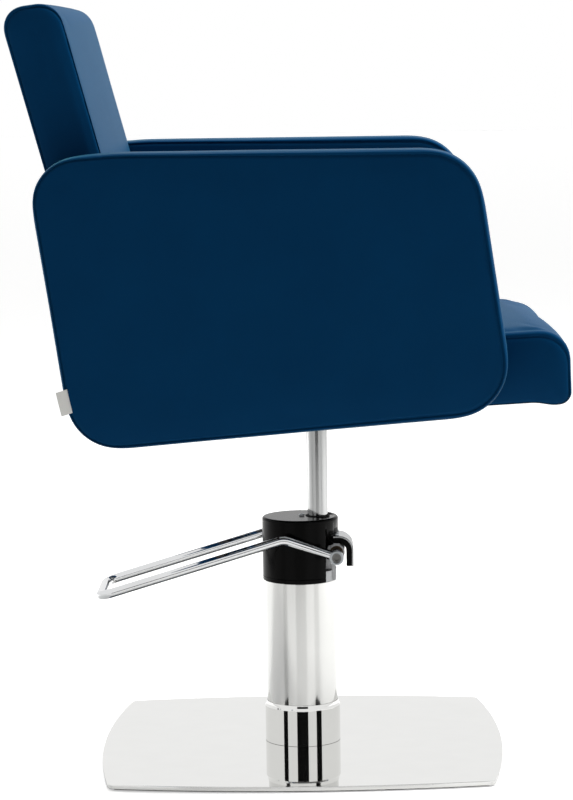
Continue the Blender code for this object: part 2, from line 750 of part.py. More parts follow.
def make_rocker(pivot, shaft_way):
    """Arm on the shaft whose nose presses the plunger."""
    across = (math.pi / 2, 0, 0)
    reach = PLUNGER_X - PIVOT_X
    hub = rod_profile(ROCKER_R, ROCKER_THICK / 2, -ROCKER_THICK / 2)
    nose = rod_profile(NOSE_R, ROCKER_THICK / 2, -ROCKER_THICK / 2)
    hub_at = {"parent": pivot, "location": (0, ROCKER_Y, 0), "rotation": across}
    nose_at = {"parent": pivot, "location": (reach, ROCKER_Y, 0), "rotation": across}
    rocker = turned("rocker_arm", hub, CAST, SMALL_STEPS, **hub_at)
    half_bar = NOSE_R - NOSE_STEP
    low = (reach, ROCKER_Y - ROCKER_THICK / 2, -half_bar)
    high = (0, ROCKER_Y + ROCKER_THICK / 2, half_bar)
    join(rocker, cutter("rocker_bar", box_mesh(low, high), parent=pivot))
    join(rocker, turned_cutter("rocker_nose", nose, SMALL_STEPS, **nose_at))
    cut(rocker, shaft_way)


def make_plunger():
    """Pump plunger under the rocker's nose, with its return spring in the head's well."""
    spot = (PLUNGER_X, ROCKER_Y, 0)
    neck = BUTTON_TOP - BUTTON_HEIGHT
    stem = [(0, BUTTON_TOP), (BUTTON_R, BUTTON_TOP), (BUTTON_R, neck), (PLUNGER_NECK_R, neck)]
    shoulder = HEAD_TOP - SPRING_WELL - SLIP
    stem += [(PLUNGER_NECK_R, shoulder), (PLUNGER_R, shoulder)]
    stem += [(PLUNGER_R, neck - PLUNGER_DEPTH), (0, neck - PLUNGER_DEPTH)]
    turned("pump_plunger", stem, ROD_STEEL, SMALL_STEPS, location=spot)
    coil_r = BUTTON_R - SPRING_WIRE_R - SLIP
    low = HEAD_TOP - SPRING_WELL + SPRING_WIRE_R + FIT
    high = neck - SPRING_WIRE_R - FIT
    count = SPRING_TURNS * SPRING_TURN_POINTS
    route = []
    for k in range(count + 1):
        angle = 2 * math.pi * k / SPRING_TURN_POINTS
        height = low + (high - low) * k / count
        route.append((coil_r * math.cos(angle), coil_r * math.sin(angle), height))
    place("plunger_spring", tube_mesh(route, SPRING_WIRE_R, SPRING_RESOLUTION), ZINC, location=spot)
    gap = (high - low) / SPRING_TURNS - 2 * SPRING_WIRE_R
    print(f"least gap between the plunger spring's turns: {gap * 1000:.2f} mm")


def make_piston():
    """Piston head with its seal, and the bearing that the rod turns on."""
    spot = (ROD_X, 0, 0)
    radius = CYLINDER_R - SLIP
    floor = radius - SEAL_DEPTH
    middle = (PISTON_BASE + PISTON_TOP) / 2
    high = middle + SEAL_HEIGHT / 2
    low = middle - SEAL_HEIGHT / 2
    tip = PISTON_TOP + BEARING_HEIGHT + SPIGOT_HEIGHT
    profile = [(0, tip), (SPIGOT_R, tip), (SPIGOT_R, PISTON_TOP), (radius, PISTON_TOP)]
    profile += [(radius, high), (floor, high), (floor, low), (radius, low)]
    profile += [(radius, PISTON_BASE), (0, PISTON_BASE)]
    turned("piston_head", profile, ZINC, INNER_STEPS, location=spot)
    seal = ring_profile(CYLINDER_R - SLIP / 2, floor + FIT, high - FIT, low + FIT)
    turned("piston_seal", seal, RUBBER, INNER_STEPS, location=spot)
    bottom = PISTON_TOP + FIT
    bearing = ring_profile(ROD_R - SLIP, SPIGOT_R + SLIP, bottom + BEARING_HEIGHT, bottom)
    turned("thrust_bearing", bearing, ROD_STEEL, INNER_STEPS, location=spot)


def make_hub(swivel, tilt):
    """Piston rod, hub, mount plate and their fasteners."""
    foot = PISTON_TOP + BEARING_HEIGHT + 2 * FIT - SEAT_Z
    slant = (HUB_R + FIT) * math.tan(SEAT_RAKE)
    top = MOUNT_BASE - slant - FIT
    hole = SPIGOT_R + SLIP
    floor = foot + SPIGOT_HEIGHT + SLIP
    profile = [(0, top), (ROD_R - ROD_EDGE, top), (ROD_R, top - ROD_EDGE)]
    profile += [(ROD_R, foot), (hole, foot), (hole, floor), (0, floor)]
    turned("piston_rod", profile, ROD_STEEL, INNER_STEPS, parent=swivel)
    barrel = ring_profile(HUB_R, ROD_R + FIT, MOUNT_TOP, -HUB_DROP)
    hub = turned("seat_hub", barrel, CAST, INNER_STEPS, parent=swivel)
    side = MOUNT_SIDE / 2
    above = box_mesh((-side, -side, MOUNT_BASE - FIT), (side, side, MOUNT_TOP + MOUNT_SIDE))
    cut(hub, cutter("hub_top", above, parent=tilt))
    middle = (0, 0, (top - HUB_DROP) / 2)
    rearward = {"parent": swivel, "location": middle, "rotation": (0, -math.pi / 2, 0)}
    lock = rod_profile(HUB_SCREW_R, HUB_R + HUB_SCREW_OUT, ROD_R + FIT)
    turned("hub_screw", lock, ZINC, SMALL_STEPS, **rearward)
    lock_way = rod_profile(HUB_SCREW_R + FIT, HUB_R + CUT_OVERRUN, ROD_R / 2)
    cut(hub, turned_cutter("lock_way", lock_way, SMALL_STEPS, **rearward))
    slab = box_mesh((-side, -side, MOUNT_BASE), (side, side, MOUNT_TOP))
    plate = place("mount_plate", slab, ZINC, tilt)
    length = MOUNT_THICK + FIT + BOARD_THICK
    grip = screw_profile(MOUNT_BOLT_HEAD_R, MOUNT_BOLT_HEAD, MOUNT_BOLT_R, length)
    way = rod_profile(MOUNT_BOLT_R + FIT, CUT_OVERRUN, -length - CUT_OVERRUN)
    holes = []
    for number, (along, across) in enumerate([(1, 1), (-1, 1), (-1, -1), (1, -1)], 1):
        spot = (along * MOUNT_BOLT_REACH, across * MOUNT_BOLT_REACH, MOUNT_BASE - FIT)
        downward = {"parent": tilt, "location": spot, "rotation": (math.pi, 0, 0)}
        turned(f"mount_bolt_{number}", grip, ZINC, SMALL_STEPS, **downward)
        holes.append(turned_cutter(f"mount_hole_{number}", way, SMALL_STEPS, **downward))
    cut(plate, *holes)
    return holes


def seat_back_at(height):
    """Where the seat's rear meets the backrest's crowned front, in the raked frame."""
    seat_x = Vector((math.cos(SEAT_RAKE), math.sin(SEAT_RAKE)))
    seat_up = Vector((-math.sin(SEAT_RAKE), math.cos(SEAT_RAKE)))
    forward = Vector((math.cos(BACK_LEAN), math.sin(BACK_LEAN)))
    face = BACK_THICK / 2 + BACK_FRONT_CROWN + BACK_SEAT_GAP
    root = Vector((BACK_X, BACK_RISE))
    return (face + root.dot(forward) - height * seat_up.dot(forward)) / seat_x.dot(forward)


def seat_section(share, shrink):
    """The seat's side outline in the raked frame, with its crown or drawn in."""
    front = SEAT_FRONT + share * SEAT_FRONT_CROWN
    corners = [
        (seat_back_at(0), 0),
        (front - SEAT_TUCK, 0),
        (front, SEAT_HEIGHT + share * SEAT_NOSE_CROWN),
        (seat_back_at(SEAT_HEIGHT), SEAT_HEIGHT + share * SEAT_TOP_CROWN),
    ]
    rear_low, front_low, front_high, rear_high = SEAT_RADII
    radii = (rear_low, front_low, front_high + share * SEAT_NOSE_ROUND, rear_high)
    return rounded(inset(corners, shrink), [max(radius - shrink, LEAST_RADIUS) for radius in radii])


def crown_stations(half):
    """Distances from the middle and shares of the crown, from one side's belly to the other's."""
    near = [(half * place_at, 0, shrink) for place_at, shrink in SIDE_STEPS]
    near += [(half * place_at, share, 0) for place_at, share in CROWN_STEPS]
    return near + [(0, 1, 0)] + [(-y, share, shrink) for y, share, shrink in reversed(near)]


def make_seat(tilt, mount_holes):
    """Wooden seat frame and the cushion that is drawn over it like a tray."""
    rings = []
    for y, share, shrink in crown_stations(SEAT_HALF):
        rings.append([(x, y, z) for x, z in seat_section(share, shrink)])
    cushion = place("seat_cushion", loft_mesh(rings), VINYL, tilt)
    rear = seat_back_at(0) + SEAT_SKIRT
    low = (rear - FIT, -FRAME_HALF - FIT, -CUT_OVERRUN)
    high = (FRAME_FRONT + FIT, FRAME_HALF + FIT, BOARD_TOP + FIT)
    cut(cushion, cutter("frame_well", box_mesh(low, high), parent=tilt))
    board_low = (rear, -FRAME_HALF, BOARD_BASE)
    board = place("seat_board", box_mesh(board_low, (FRAME_FRONT, FRAME_HALF, BOARD_TOP)), PLYWOOD, tilt)
    cut(board, *mount_holes)
    inner = FRAME_HALF - RAIL_WIDTH
    rails = {
        "right": ((rear, -FRAME_HALF), (FRAME_FRONT, -inner)),
        "left": ((rear, inner), (FRAME_FRONT, FRAME_HALF)),
        "front": ((FRAME_FRONT - RAIL_WIDTH, FIT - inner), (FRAME_FRONT, inner - FIT)),
        "rear": ((rear, FIT - inner), (rear + RAIL_WIDTH, inner - FIT)),
    }
    made = {}
    for word, (start, end) in rails.items():
        rail = box_mesh((*start, RAIL_INSET), (*end, RAIL_TOP))
        made[word] = place(f"seat_rail_{word}", rail, PLYWOOD, tilt)
    return cushion, made


def arm_outline(shrink):
    """The arm's rounded side outline, drawn in by a distance."""
    radii = [max(radius - shrink, LEAST_RADIUS) for radius in ARM_RADII]
    return rounded(inset(ARM_CORNERS, shrink), radii, ARM_CORNER_STEPS)


def arm_rings(sections):
    """Rings of the arm's outline at given places across."""
    return [[(x, y, z) for x, z in arm_outline(shrink)] for y, shrink in sections]


def make_arm(word, side, swivel, tilt, cushion, rail):
    """One upholstered arm: outer pad with a hollow back, core board, inner lining and two bolts."""
    inner = ARM_INNER_Y + ARM_CROWN
    outer = ARM_INNER_Y + ARM_THICK
    face = outer - ARM_CROWN
    floor = outer - ARM_SHELL
    core_in = floor - FIT - ARM_CORE_THICK
    pad = [(outer - ARM_CROWN * share, shrink) for share, shrink in ARM_FACE_STEPS]
    pad += [(face - depth, shrink) for depth, shrink in ARM_EDGE_STEPS]
    pad += [((inner + face) / 2, -ARM_SIDE_CROWN)]
    pad += [(inner + depth, shrink) for depth, shrink in reversed(ARM_EDGE_STEPS)]
    pad += [(inner, ARM_RIM), (floor, ARM_RIM)]
    lining = [(core_in - FIT, ARM_RIM + FIT), (inner, ARM_RIM + FIT)]
    lining += [(inner - ARM_CROWN * share, shrink) for share, shrink in ARM_LINING_STEPS]
    core = [(floor - FIT, ARM_RIM + FIT), (core_in, ARM_RIM + FIT)]
    shapes = {"pad": (pad, VINYL), "lining": (lining, VINYL), "core": (core, PLYWOOD)}
    pieces = {}
    for kind, (sections, finish) in shapes.items():
        rings = arm_rings([(side * y, shrink) for y, shrink in sections])
        pieces[kind] = place(f"arm_{word}_{kind}", loft_mesh(rings), finish, swivel)
    head_at = FRAME_HALF - RAIL_WIDTH - FIT
    length = core_in + ARM_BOLT_BITE - head_at
    grip = screw_profile(ARM_BOLT_HEAD_R, ARM_BOLT_HEAD, ARM_BOLT_R, length)
    way = rod_profile(ARM_BOLT_R + FIT, CUT_OVERRUN, -length - FIT)
    inward = (side * math.pi / 2, 0, 0)
    for number, along in enumerate(ARM_BOLT_PLACES, 1):
        name = f"arm_{word}_bolt_{number}"
        where = {"parent": tilt, "location": (along, side * head_at, ARM_BOLT_RISE), "rotation": inward}
        turned(name, grip, ZINC, SMALL_STEPS, **where)
        hole = turned_cutter(f"{name}_way", way, SMALL_STEPS, **where)
        for target in (rail, cushion, pieces["lining"], pieces["core"]):
            cut(target, hole)
    return pieces["pad"]


def make_tab(swivel, pad):
    """Plain woven tab caught in the rear seam of the right arm."""
    low_corner = Vector(ARM_CORNERS[0])
    high_corner = Vector(ARM_CORNERS[3])
    along = (high_corner - low_corner).normalized()
    spot = low_corner + along * TAB_ALONG
    lean = math.atan2(along.x, along.y)
    across = -(ARM_INNER_Y + ARM_THICK - TAB_FROM_FACE)
    half = TAB_THICK / 2
    size = {"location": (spot.x, across, spot.y), "rotation": (0, lean, 0)}
    low = Vector((-TAB_OUT, -half, -TAB_LENGTH / 2))
    high = Vector((TAB_IN, half, TAB_LENGTH / 2))
    place("label_tab", box_mesh(low, high), TAB_CLOTH, swivel, **size)
    gap = Vector((FIT, FIT, FIT))
    slit = cutter("tab_slit", box_mesh(low - gap, high + gap), parent=swivel, **size)
    cut(pad, slit)


def back_section(share, shrink):
    """The backrest's side outline in the leaning frame, with its crown or drawn in."""
    rear = -BACK_THICK / 2 - share * BACK_CROWN
    front = BACK_THICK / 2 + share * BACK_FRONT_CROWN
    top = BACK_HEIGHT + share * BACK_TOP_CROWN
    corners = [(rear, 0), (front, 0), (front, top - BACK_TOP_FALL), (rear, top)]
    radii = [max(radius - shrink, LEAST_RADIUS) for radius in BACK_RADII]
    return rounded(inset(corners, shrink), radii)


def make_back(lean):
    """Back cushion over a board whose tongue reaches down behind the seat."""
    rings = []
    for y, share, shrink in crown_stations(BACK_HALF):
        rings.append([(x, y, z) for x, z in back_section(share, shrink)])
    pad = place("back_cushion", loft_mesh(rings), VINYL, lean)
    half = BACK_BOARD_THICK / 2
    low = Vector((-half, -BACK_BOARD_HALF, -BACK_TONGUE))
    high = Vector((half, BACK_BOARD_HALF, BACK_BOARD_RISE))
    board = place("back_board", box_mesh(low, high), PLYWOOD, lean)
    gap = Vector((FIT, FIT, FIT))
    cut(pad, cutter("back_well", box_mesh(low - gap, high + gap), parent=lean))
    return board


def bracket_path():
    """The bracket's bend line, from the back board's tongue to under the seat, in the leaning frame."""
    turn = BACK_LEAN - SEAT_RAKE
    leg = BACK_BOARD_THICK / 2 + FIT + BRACKET_THICK / 2
    root = Matrix.Rotation(-BACK_LEAN, 2) @ -Vector((BACK_X, BACK_RISE))
    seat_x = Vector((math.cos(turn), -math.sin(turn)))
    seat_up = Vector((math.sin(turn), math.cos(turn)))
    start = root - seat_up * (FIT + BRACKET_THICK / 2)
    bend = start + seat_x * ((leg - start.x) / seat_x.x)
    end = bend + seat_x * BRACKET_REACH
    corners = [(leg, 0, -BRACKET_TOP), (bend.x, 0, bend.y), (end.x, 0, end.y)]
    return [(p.x, p.z) for p in rounded_path(corners, [BRACKET_RADIUS])]


def make_back_fixings(lean, board):
    """Two bent brackets that carry the back board on the seat frame, each with a bolt."""
    length = BRACKET_THICK + FIT + BACK_BOARD_THICK
    grip = screw_profile(BRACKET_BOLT_HEAD_R, BRACKET_BOLT_HEAD, BRACKET_BOLT_R, length)
    way = rod_profile(BRACKET_BOLT_R + FIT, CUT_OVERRUN, -length - CUT_OVERRUN)
    for side, word in ((-1, "right"), (1, "left")):
        across = side * BRACKET_Y
        bent = {"parent": lean, "location": (0, across, 0)}
        name = f"back_bracket_{word}"
        bracket = strip(name, bracket_path(), BRACKET_WIDTH, BRACKET_THICK, ZINC, **bent)
        spot = (BACK_BOARD_THICK / 2 + BRACKET_THICK + 2 * FIT, across, -BRACKET_BOLT_DOWN)
        where = {"parent": lean, "location": spot, "rotation": (0, math.pi / 2, 0)}
        turned(f"back_bolt_{word}", grip, ZINC, SMALL_STEPS, **where)
        hole = turned_cutter(f"back_hole_{word}", way, SMALL_STEPS, **where)
        cut(bracket, hole)
        cut(board, hole)


def main():
    """Builds the chair from the floor up."""
    pivot = empty("lever_pivot", location=(PIVOT_X, 0, PIVOT_Z))
    swivel = empty("seat_swivel", location=(ROD_X, 0, SEAT_Z))
    tilt = empty("seat_tilt", swivel, rotation=(0, -SEAT_RAKE, 0))
    lean = empty("back_lean", swivel, (BACK_X, 0, BACK_RISE), (0, -BACK_LEAN, 0))
    base_holes = make_floor()
    lug_hole = rod_profile(LUG_BORE + FIT, LEG_Y, -LEG_Y)
    lug_way = turned_cutter("lug_way", lug_hole, SMALL_STEPS, parent=pivot, rotation=(math.pi / 2, 0, 0))
    body = make_pump(base_holes, lug_way)
    make_column()
    screw_way, cap = make_cap()
    cut(cap, screw_way)
    cut(body, screw_way)
    make_rod_guides()
    make_hood(body)
    make_lever(pivot)
    make_plunger()
    make_piston()
    mount_holes = make_hub(swivel, tilt)
    cushion, rails = make_seat(tilt, mount_holes)
    right_pad = make_arm("right", -1, swivel, tilt, cushion, rails["right"])
    make_arm("left", 1, swivel, tilt, cushion, rails["left"])
    make_tab(swivel, right_pad)
    board = make_back(lean)
    make_back_fixings(lean, board)


main()
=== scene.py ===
"""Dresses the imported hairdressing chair: its upholstery, its metalwork and the studio round them.

Units are metres in the frame of the solids: +X is the sitter's front, -Y the sitter's right, +Z up.
"""

import json
import logging
import math
from abc import ABC, abstractmethod
from collections.abc import Sequence
from dataclasses import dataclass
from enum import Enum

import bmesh
import bpy
import numpy as np
from mathutils import Matrix, Vector, noise


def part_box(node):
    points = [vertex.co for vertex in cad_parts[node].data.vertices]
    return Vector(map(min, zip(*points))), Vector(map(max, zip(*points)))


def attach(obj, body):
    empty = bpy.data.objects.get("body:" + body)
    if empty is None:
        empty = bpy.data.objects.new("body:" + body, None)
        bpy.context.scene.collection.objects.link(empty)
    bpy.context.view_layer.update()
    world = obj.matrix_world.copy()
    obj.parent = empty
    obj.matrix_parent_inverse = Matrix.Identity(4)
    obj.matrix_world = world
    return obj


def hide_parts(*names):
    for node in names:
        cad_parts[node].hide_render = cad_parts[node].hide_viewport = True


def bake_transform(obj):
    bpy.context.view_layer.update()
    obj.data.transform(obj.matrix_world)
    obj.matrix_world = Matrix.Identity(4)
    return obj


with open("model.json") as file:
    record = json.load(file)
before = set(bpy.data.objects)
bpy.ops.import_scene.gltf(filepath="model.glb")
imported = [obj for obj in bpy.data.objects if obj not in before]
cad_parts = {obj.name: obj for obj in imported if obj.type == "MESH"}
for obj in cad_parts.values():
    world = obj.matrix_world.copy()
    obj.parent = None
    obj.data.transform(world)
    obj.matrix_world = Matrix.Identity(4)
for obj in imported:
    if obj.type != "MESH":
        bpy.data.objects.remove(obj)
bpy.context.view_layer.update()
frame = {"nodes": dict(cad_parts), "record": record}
LOG = logging.getLogger("chair")

# Places, a size and an angle that several sub-assemblies share: the rod, the lever's pivot, the seat's
# height, half the width of a cushion and the lean of the backrest
ROD_X = 0.0225
PIVOT_X = 0.046
PIVOT_Z = 0.2523
SEAT_Z = 0.4516
CUSHION_HALF = 0.2325
BACK_LEAN = math.radians(15)

# Making: the angle in degrees past which an edge stays crisp and the one that leaves none, how far a cutter
# stands past what it cuts, the segments of a turned edge and of a turned piece, the distance under which two
# points are one, and a length that keeps a division from zero
CRISP_ANGLE = 35.0
ALL_SMOOTH = 180.0
CUT_MARGIN = 0.02
EDGE_STEPS = 4
FINE_TURN = 96
MIDDLE_TURN = 64
SMALL_TURN = 48
TINY_TURN = 32
SAME_POINT = 1e-7
NEXT_TO_NOTHING = 1e-9

# Layers of a noise pattern: a soft cloud, a broken tone and a rich one
SOFT = 2.0
BROKEN = 3.0
RICH = 4.0

# A mix node's numbers for its two colours and for the mixed one
MIX_LOW = 6
MIX_HIGH = 7
MIXED = 2


class Body(Enum):
    """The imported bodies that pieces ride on."""

    BASE = "base"
    PEDAL = "pedal"
    PLUNGER = "plunger"
    SEAT = "seat"


class Slot(Enum):
    """The record's material slots."""

    UPHOLSTERY = "upholstery"
    TAB = "tab_cloth"
    POLISHED = "polished_steel"
    SATIN = "satin_steel"
    GROUND = "ground_steel"
    CAST = "cast_metal"
    ZINC = "zinc_steel"
    PLASTIC = "black_plastic"
    RUBBER = "black_rubber"
    BRONZE = "bronze"
    PLYWOOD = "plywood"


class Side(Enum):
    """The sitter's two sides, as the sign of Y."""

    RIGHT = -1
    LEFT = 1


class Join(Enum):
    """How other objects change a piece."""

    CUT = "DIFFERENCE"
    WELD = "UNION"


def linear(colour: str) -> tuple[float, float, float, float]:
    """Turns an sRGB hex colour to linear light.

    Args:
        colour: a colour such as "#0E4068".

    Returns:
        Red, green, blue and an opaque alpha.
    """
    parts = [int(colour[i : i + 2], 16) / 255 for i in (1, 3, 5)]
    red, green, blue = [((c + 0.055) / 1.055) ** 2.4 if c > 0.04045 else c / 12.92 for c in parts]
    return red, green, blue, 1.0


def per_mm(size: float) -> float:
    """Returns the texture scale whose pattern repeats at a size in millimetres."""
    return 1000.0 / size


def add_node(
    tree: bpy.types.NodeTree, kind: str, inputs: dict | None = None, **settings: object
) -> bpy.types.Node:
    """Adds a node with its settings, and sets or links its inputs.

    Args:
        tree: the node tree that takes the node.
        kind: the node's type name.
        inputs: values, or sockets to link, by the input's name or number.
        **settings: properties of the node.

    Returns:
        The node.
    """
    node = tree.nodes.new(kind)
    for key, value in settings.items():
        setattr(node, key, value)
    for key, value in (inputs or {}).items():
        if isinstance(value, bpy.types.NodeSocket):
            tree.links.new(value, node.inputs[key])
        else:
            node.inputs[key].default_value = value
    return node


def start_material(
    name: str, **values: object
) -> tuple[bpy.types.Material, bpy.types.NodeTree, bpy.types.Node]:
    """Starts a material on a Principled shader.

    Args:
        name: the material's name.
        **values: constants for the shader's inputs, with _ for a space.

    Returns:
        The material, its node tree and the shader.
    """
    material = bpy.data.materials.new(name)
    material.use_nodes = True
    tree = material.node_tree
    shader = tree.nodes["Principled BSDF"]
    for key, value in values.items():
        shader.inputs[key.replace("_", " ")].default_value = value
    return material, tree, shader


def dress(
    tree: bpy.types.NodeTree, shader: bpy.types.Node, tone: bpy.types.NodeSocket, tones: tuple[str, str],
    height: bpy.types.NodeSocket, relief: tuple[float, float],
    wear: bpy.types.NodeSocket | None = None, roughness: tuple[float, float] = (0.0, 0.0),
) -> None:
    """Lets patterns move a shader's colour and roughness and raise its surface.

    Args:
        tree: the material's node tree.
        shader: its shader.
        tone: the pattern that moves the colour.
        tones: the colours where that pattern is low and where it is high.
        height: the pattern that raises the surface.
        relief: the strength of the relief and its height in metres, where a height of 0 leaves it out.
        wear: the pattern that moves the roughness, if there is one.
        roughness: the roughness where that pattern is low and where it is high.
    """
    mixed = add_node(
        tree, "ShaderNodeMix", {0: tone, MIX_LOW: linear(tones[0]), MIX_HIGH: linear(tones[1])},
        data_type="RGBA",
    )
    tree.links.new(mixed.outputs[MIXED], shader.inputs["Base Color"])
    if wear:
        rough = add_node(
            tree, "ShaderNodeMapRange", {"Value": wear, "To Min": roughness[0], "To Max": roughness[1]}
        )
        tree.links.new(rough.outputs["Result"], shader.inputs["Roughness"])
    strength, distance = relief
    if distance:
        bump = add_node(
            tree, "ShaderNodeBump", {"Strength": strength, "Distance": distance, "Height": height}
        )
        tree.links.new(bump.outputs["Normal"], shader.inputs["Normal"])


@dataclass(frozen=True)
class Leatherette:
    """Leatherette: woven cloth coated with PVC and pressed with a fine pebble grain.

    The grain breaks the light into a soft satin, a faint sheen lightens the cover where it turns away from
    the eye, and the stretch of the cover leaves slow changes of tone. The grain is drawn at twice its real
    size, because it would be too fine to show.
    """

    name: str = "navy_leatherette"
    colour: str = "#01355B"
    deep: str = "#002F53"
    roughness: tuple[float, float] = (0.44, 0.53)
    specular: float = 0.030
    sheen: float = 0.11
    sheen_roughness: float = 0.4
    sheen_tint: str = "#90E4E0"
    grain_mm: float = 1.6
    fine_mm: float = 1.6 / 3
    tone_mm: float = 70.0
    relief: float = 0.00010
    bump: float = 0.6
    grain_share: float = 0.8
    grain_smooth: float = 0.5

    def make(self) -> bpy.types.Material:
        """Makes the material.

        Returns:
            The material.
        """
        material, tree, shader = start_material(
            self.name, Specular_IOR_Level=self.specular, Sheen_Weight=self.sheen,
            Sheen_Roughness=self.sheen_roughness, Sheen_Tint=linear(self.sheen_tint),
        )
        spot = add_node(tree, "ShaderNodeTexCoord").outputs["Object"]
        tone = add_node(
            tree, "ShaderNodeTexNoise", {"Vector": spot, "Scale": per_mm(self.tone_mm), "Detail": RICH}
        )
        grain = add_node(
            tree, "ShaderNodeTexVoronoi",
            {"Vector": spot, "Scale": per_mm(self.grain_mm), "Smoothness": self.grain_smooth},
            feature="SMOOTH_F1",
        )
        fine = add_node(
            tree, "ShaderNodeTexNoise", {"Vector": spot, "Scale": per_mm(self.fine_mm), "Detail": SOFT}
        )
        height = add_node(
            tree, "ShaderNodeMath",
            {0: grain.outputs["Distance"], 1: self.grain_share, 2: fine.outputs["Fac"]},
            operation="MULTIPLY_ADD",
        )
        dress(
            tree, shader, tone.outputs["Fac"], (self.deep, self.colour), height.outputs[0],
            (self.bump, self.relief), grain.outputs["Distance"], self.roughness,
        )
        return material


class Lay(Enum):
    """The way the marks of a metal's finishing run, as stretches of X, Y and Z."""

    EVEN = (1.0, 1.0, 1.0)
    LENGTHWISE = (1.0, 1.0, 0.01)
    ROUND = (0.02, 0.02, 1.0)


@dataclass(frozen=True)
class Metal:
    """A metal and the marks of its finishing: buffed, drawn, ground, cast or plated.

    The marks change the roughness along their lay, so that a highlight breaks up a little, and a tone
    moves slowly over the surface. The mark's width is in millimetres.
    """

    name: str
    colour: str
    deep: str
    roughness: tuple[float, float]
    mark_mm: float
    lay: Lay = Lay.EVEN
    relief: float = 0.0
    tone_mm: float = 40.0
    bump: float = 0.5

    def make(self) -> bpy.types.Material:
        """Makes the material.

        Returns:
            The material.
        """
        material, tree, shader = start_material(self.name, Metallic=1.0)
        spot = add_node(tree, "ShaderNodeTexCoord").outputs["Object"]
        along = add_node(tree, "ShaderNodeMapping", {"Vector": spot, "Scale": self.lay.value})
        marks = add_node(
            tree, "ShaderNodeTexNoise",
            {"Vector": along.outputs["Vector"], "Scale": per_mm(self.mark_mm), "Detail": BROKEN},
        )
        tone = add_node(
            tree, "ShaderNodeTexNoise", {"Vector": spot, "Scale": per_mm(self.tone_mm), "Detail": SOFT}
        )
        dress(
            tree, shader, tone.outputs["Fac"], (self.deep, self.colour), marks.outputs["Fac"],
            (self.bump, self.relief), marks.outputs["Fac"], self.roughness,
        )
        return material


@dataclass(frozen=True)
class Moulding:
    """A moulded plastic or rubber with the fine spark texture of its mould."""

    name: str
    colour: str
    deep: str
    roughness: tuple[float, float]
    spark_mm: float
    relief: float
    specular: float = 0.5
    tone_mm: float = 25.0
    bump: float = 0.5

    def make(self) -> bpy.types.Material:
        """Makes the material.

        Returns:
            The material.
        """
        material, tree, shader = start_material(self.name, Specular_IOR_Level=self.specular)
        spot = add_node(tree, "ShaderNodeTexCoord").outputs["Object"]
        spark = add_node(
            tree, "ShaderNodeTexNoise", {"Vector": spot, "Scale": per_mm(self.spark_mm), "Detail": BROKEN}
        )
        tone = add_node(
            tree, "ShaderNodeTexNoise", {"Vector": spot, "Scale": per_mm(self.tone_mm), "Detail": SOFT}
        )
        dress(
            tree, shader, tone.outputs["Fac"], (self.deep, self.colour), spark.outputs["Fac"],
            (self.bump, self.relief), tone.outputs["Fac"], self.roughness,
        )
        return material


@dataclass(frozen=True)
class Plywood:
    """Birch plywood stained black: the long grain still shows as a faint change of tone."""

    name: str = "stained_plywood"
    pale: str = "#2A2521"
    dark: str = "#171412"
    grain_mm: float = 3.0
    grain_detail: float = 5.0
    grain_wander: float = 0.4
    lay: tuple[float, float, float] = (0.06, 1.0, 1.0)
    relief: float = 0.0002
    bump: float = 0.3
    roughness: float = 0.72

    def make(self) -> bpy.types.Material:
        """Makes the material.

        Returns:
            The material.
        """
        material, tree, shader = start_material(self.name, Roughness=self.roughness)
        spot = add_node(tree, "ShaderNodeTexCoord").outputs["Object"]
        along = add_node(tree, "ShaderNodeMapping", {"Vector": spot, "Scale": self.lay})
        grain = add_node(
            tree, "ShaderNodeTexNoise",
            {
                "Vector": along.outputs["Vector"], "Scale": per_mm(self.grain_mm),
                "Detail": self.grain_detail, "Distortion": self.grain_wander,
            },
        )
        dress(
            tree, shader, grain.outputs["Fac"], (self.dark, self.pale), grain.outputs["Fac"],
            (self.bump, self.relief),
        )
        return material


@dataclass(frozen=True)
class WovenTape:
    """Woven polyester tape: fine threads across each other, which scatter the light and hide any shine.

    The threads are drawn about three times as wide as real ones, because they would be too fine to show.
    """

    name: str = "woven_tape"
    pale: str = "#F2F1EE"
    dark: str = "#DCDBD7"
    thread_mm: float = 1.2
    relief: float = 0.0002
    bump: float = 0.6
    roughness: float = 0.85
    specular: float = 0.2

    def make(self) -> bpy.types.Material:
        """Makes the material.

        Returns:
            The material.
        """
        material, tree, shader = start_material(
            self.name, Roughness=self.roughness, Specular_IOR_Level=self.specular
        )
        spot = add_node(tree, "ShaderNodeTexCoord").outputs["Object"]
        # At a scale of 1 a wave pattern has 20 / (2 pi) bands in a metre.
        turns = 2 * math.pi / 20 * per_mm(self.thread_mm)
        warp, weft = (
            add_node(
                tree, "ShaderNodeTexWave", {"Vector": spot, "Scale": turns},
                bands_direction=way, wave_profile="SIN",
            )
            for way in ("X", "Z")
        )
        weave = add_node(
            tree, "ShaderNodeMath", {0: warp.outputs["Fac"], 1: weft.outputs["Fac"]}, operation="MULTIPLY"
        )
        dress(
            tree, shader, weave.outputs[0], (self.dark, self.pale), weave.outputs[0],
            (self.bump, self.relief),
        )
        return material


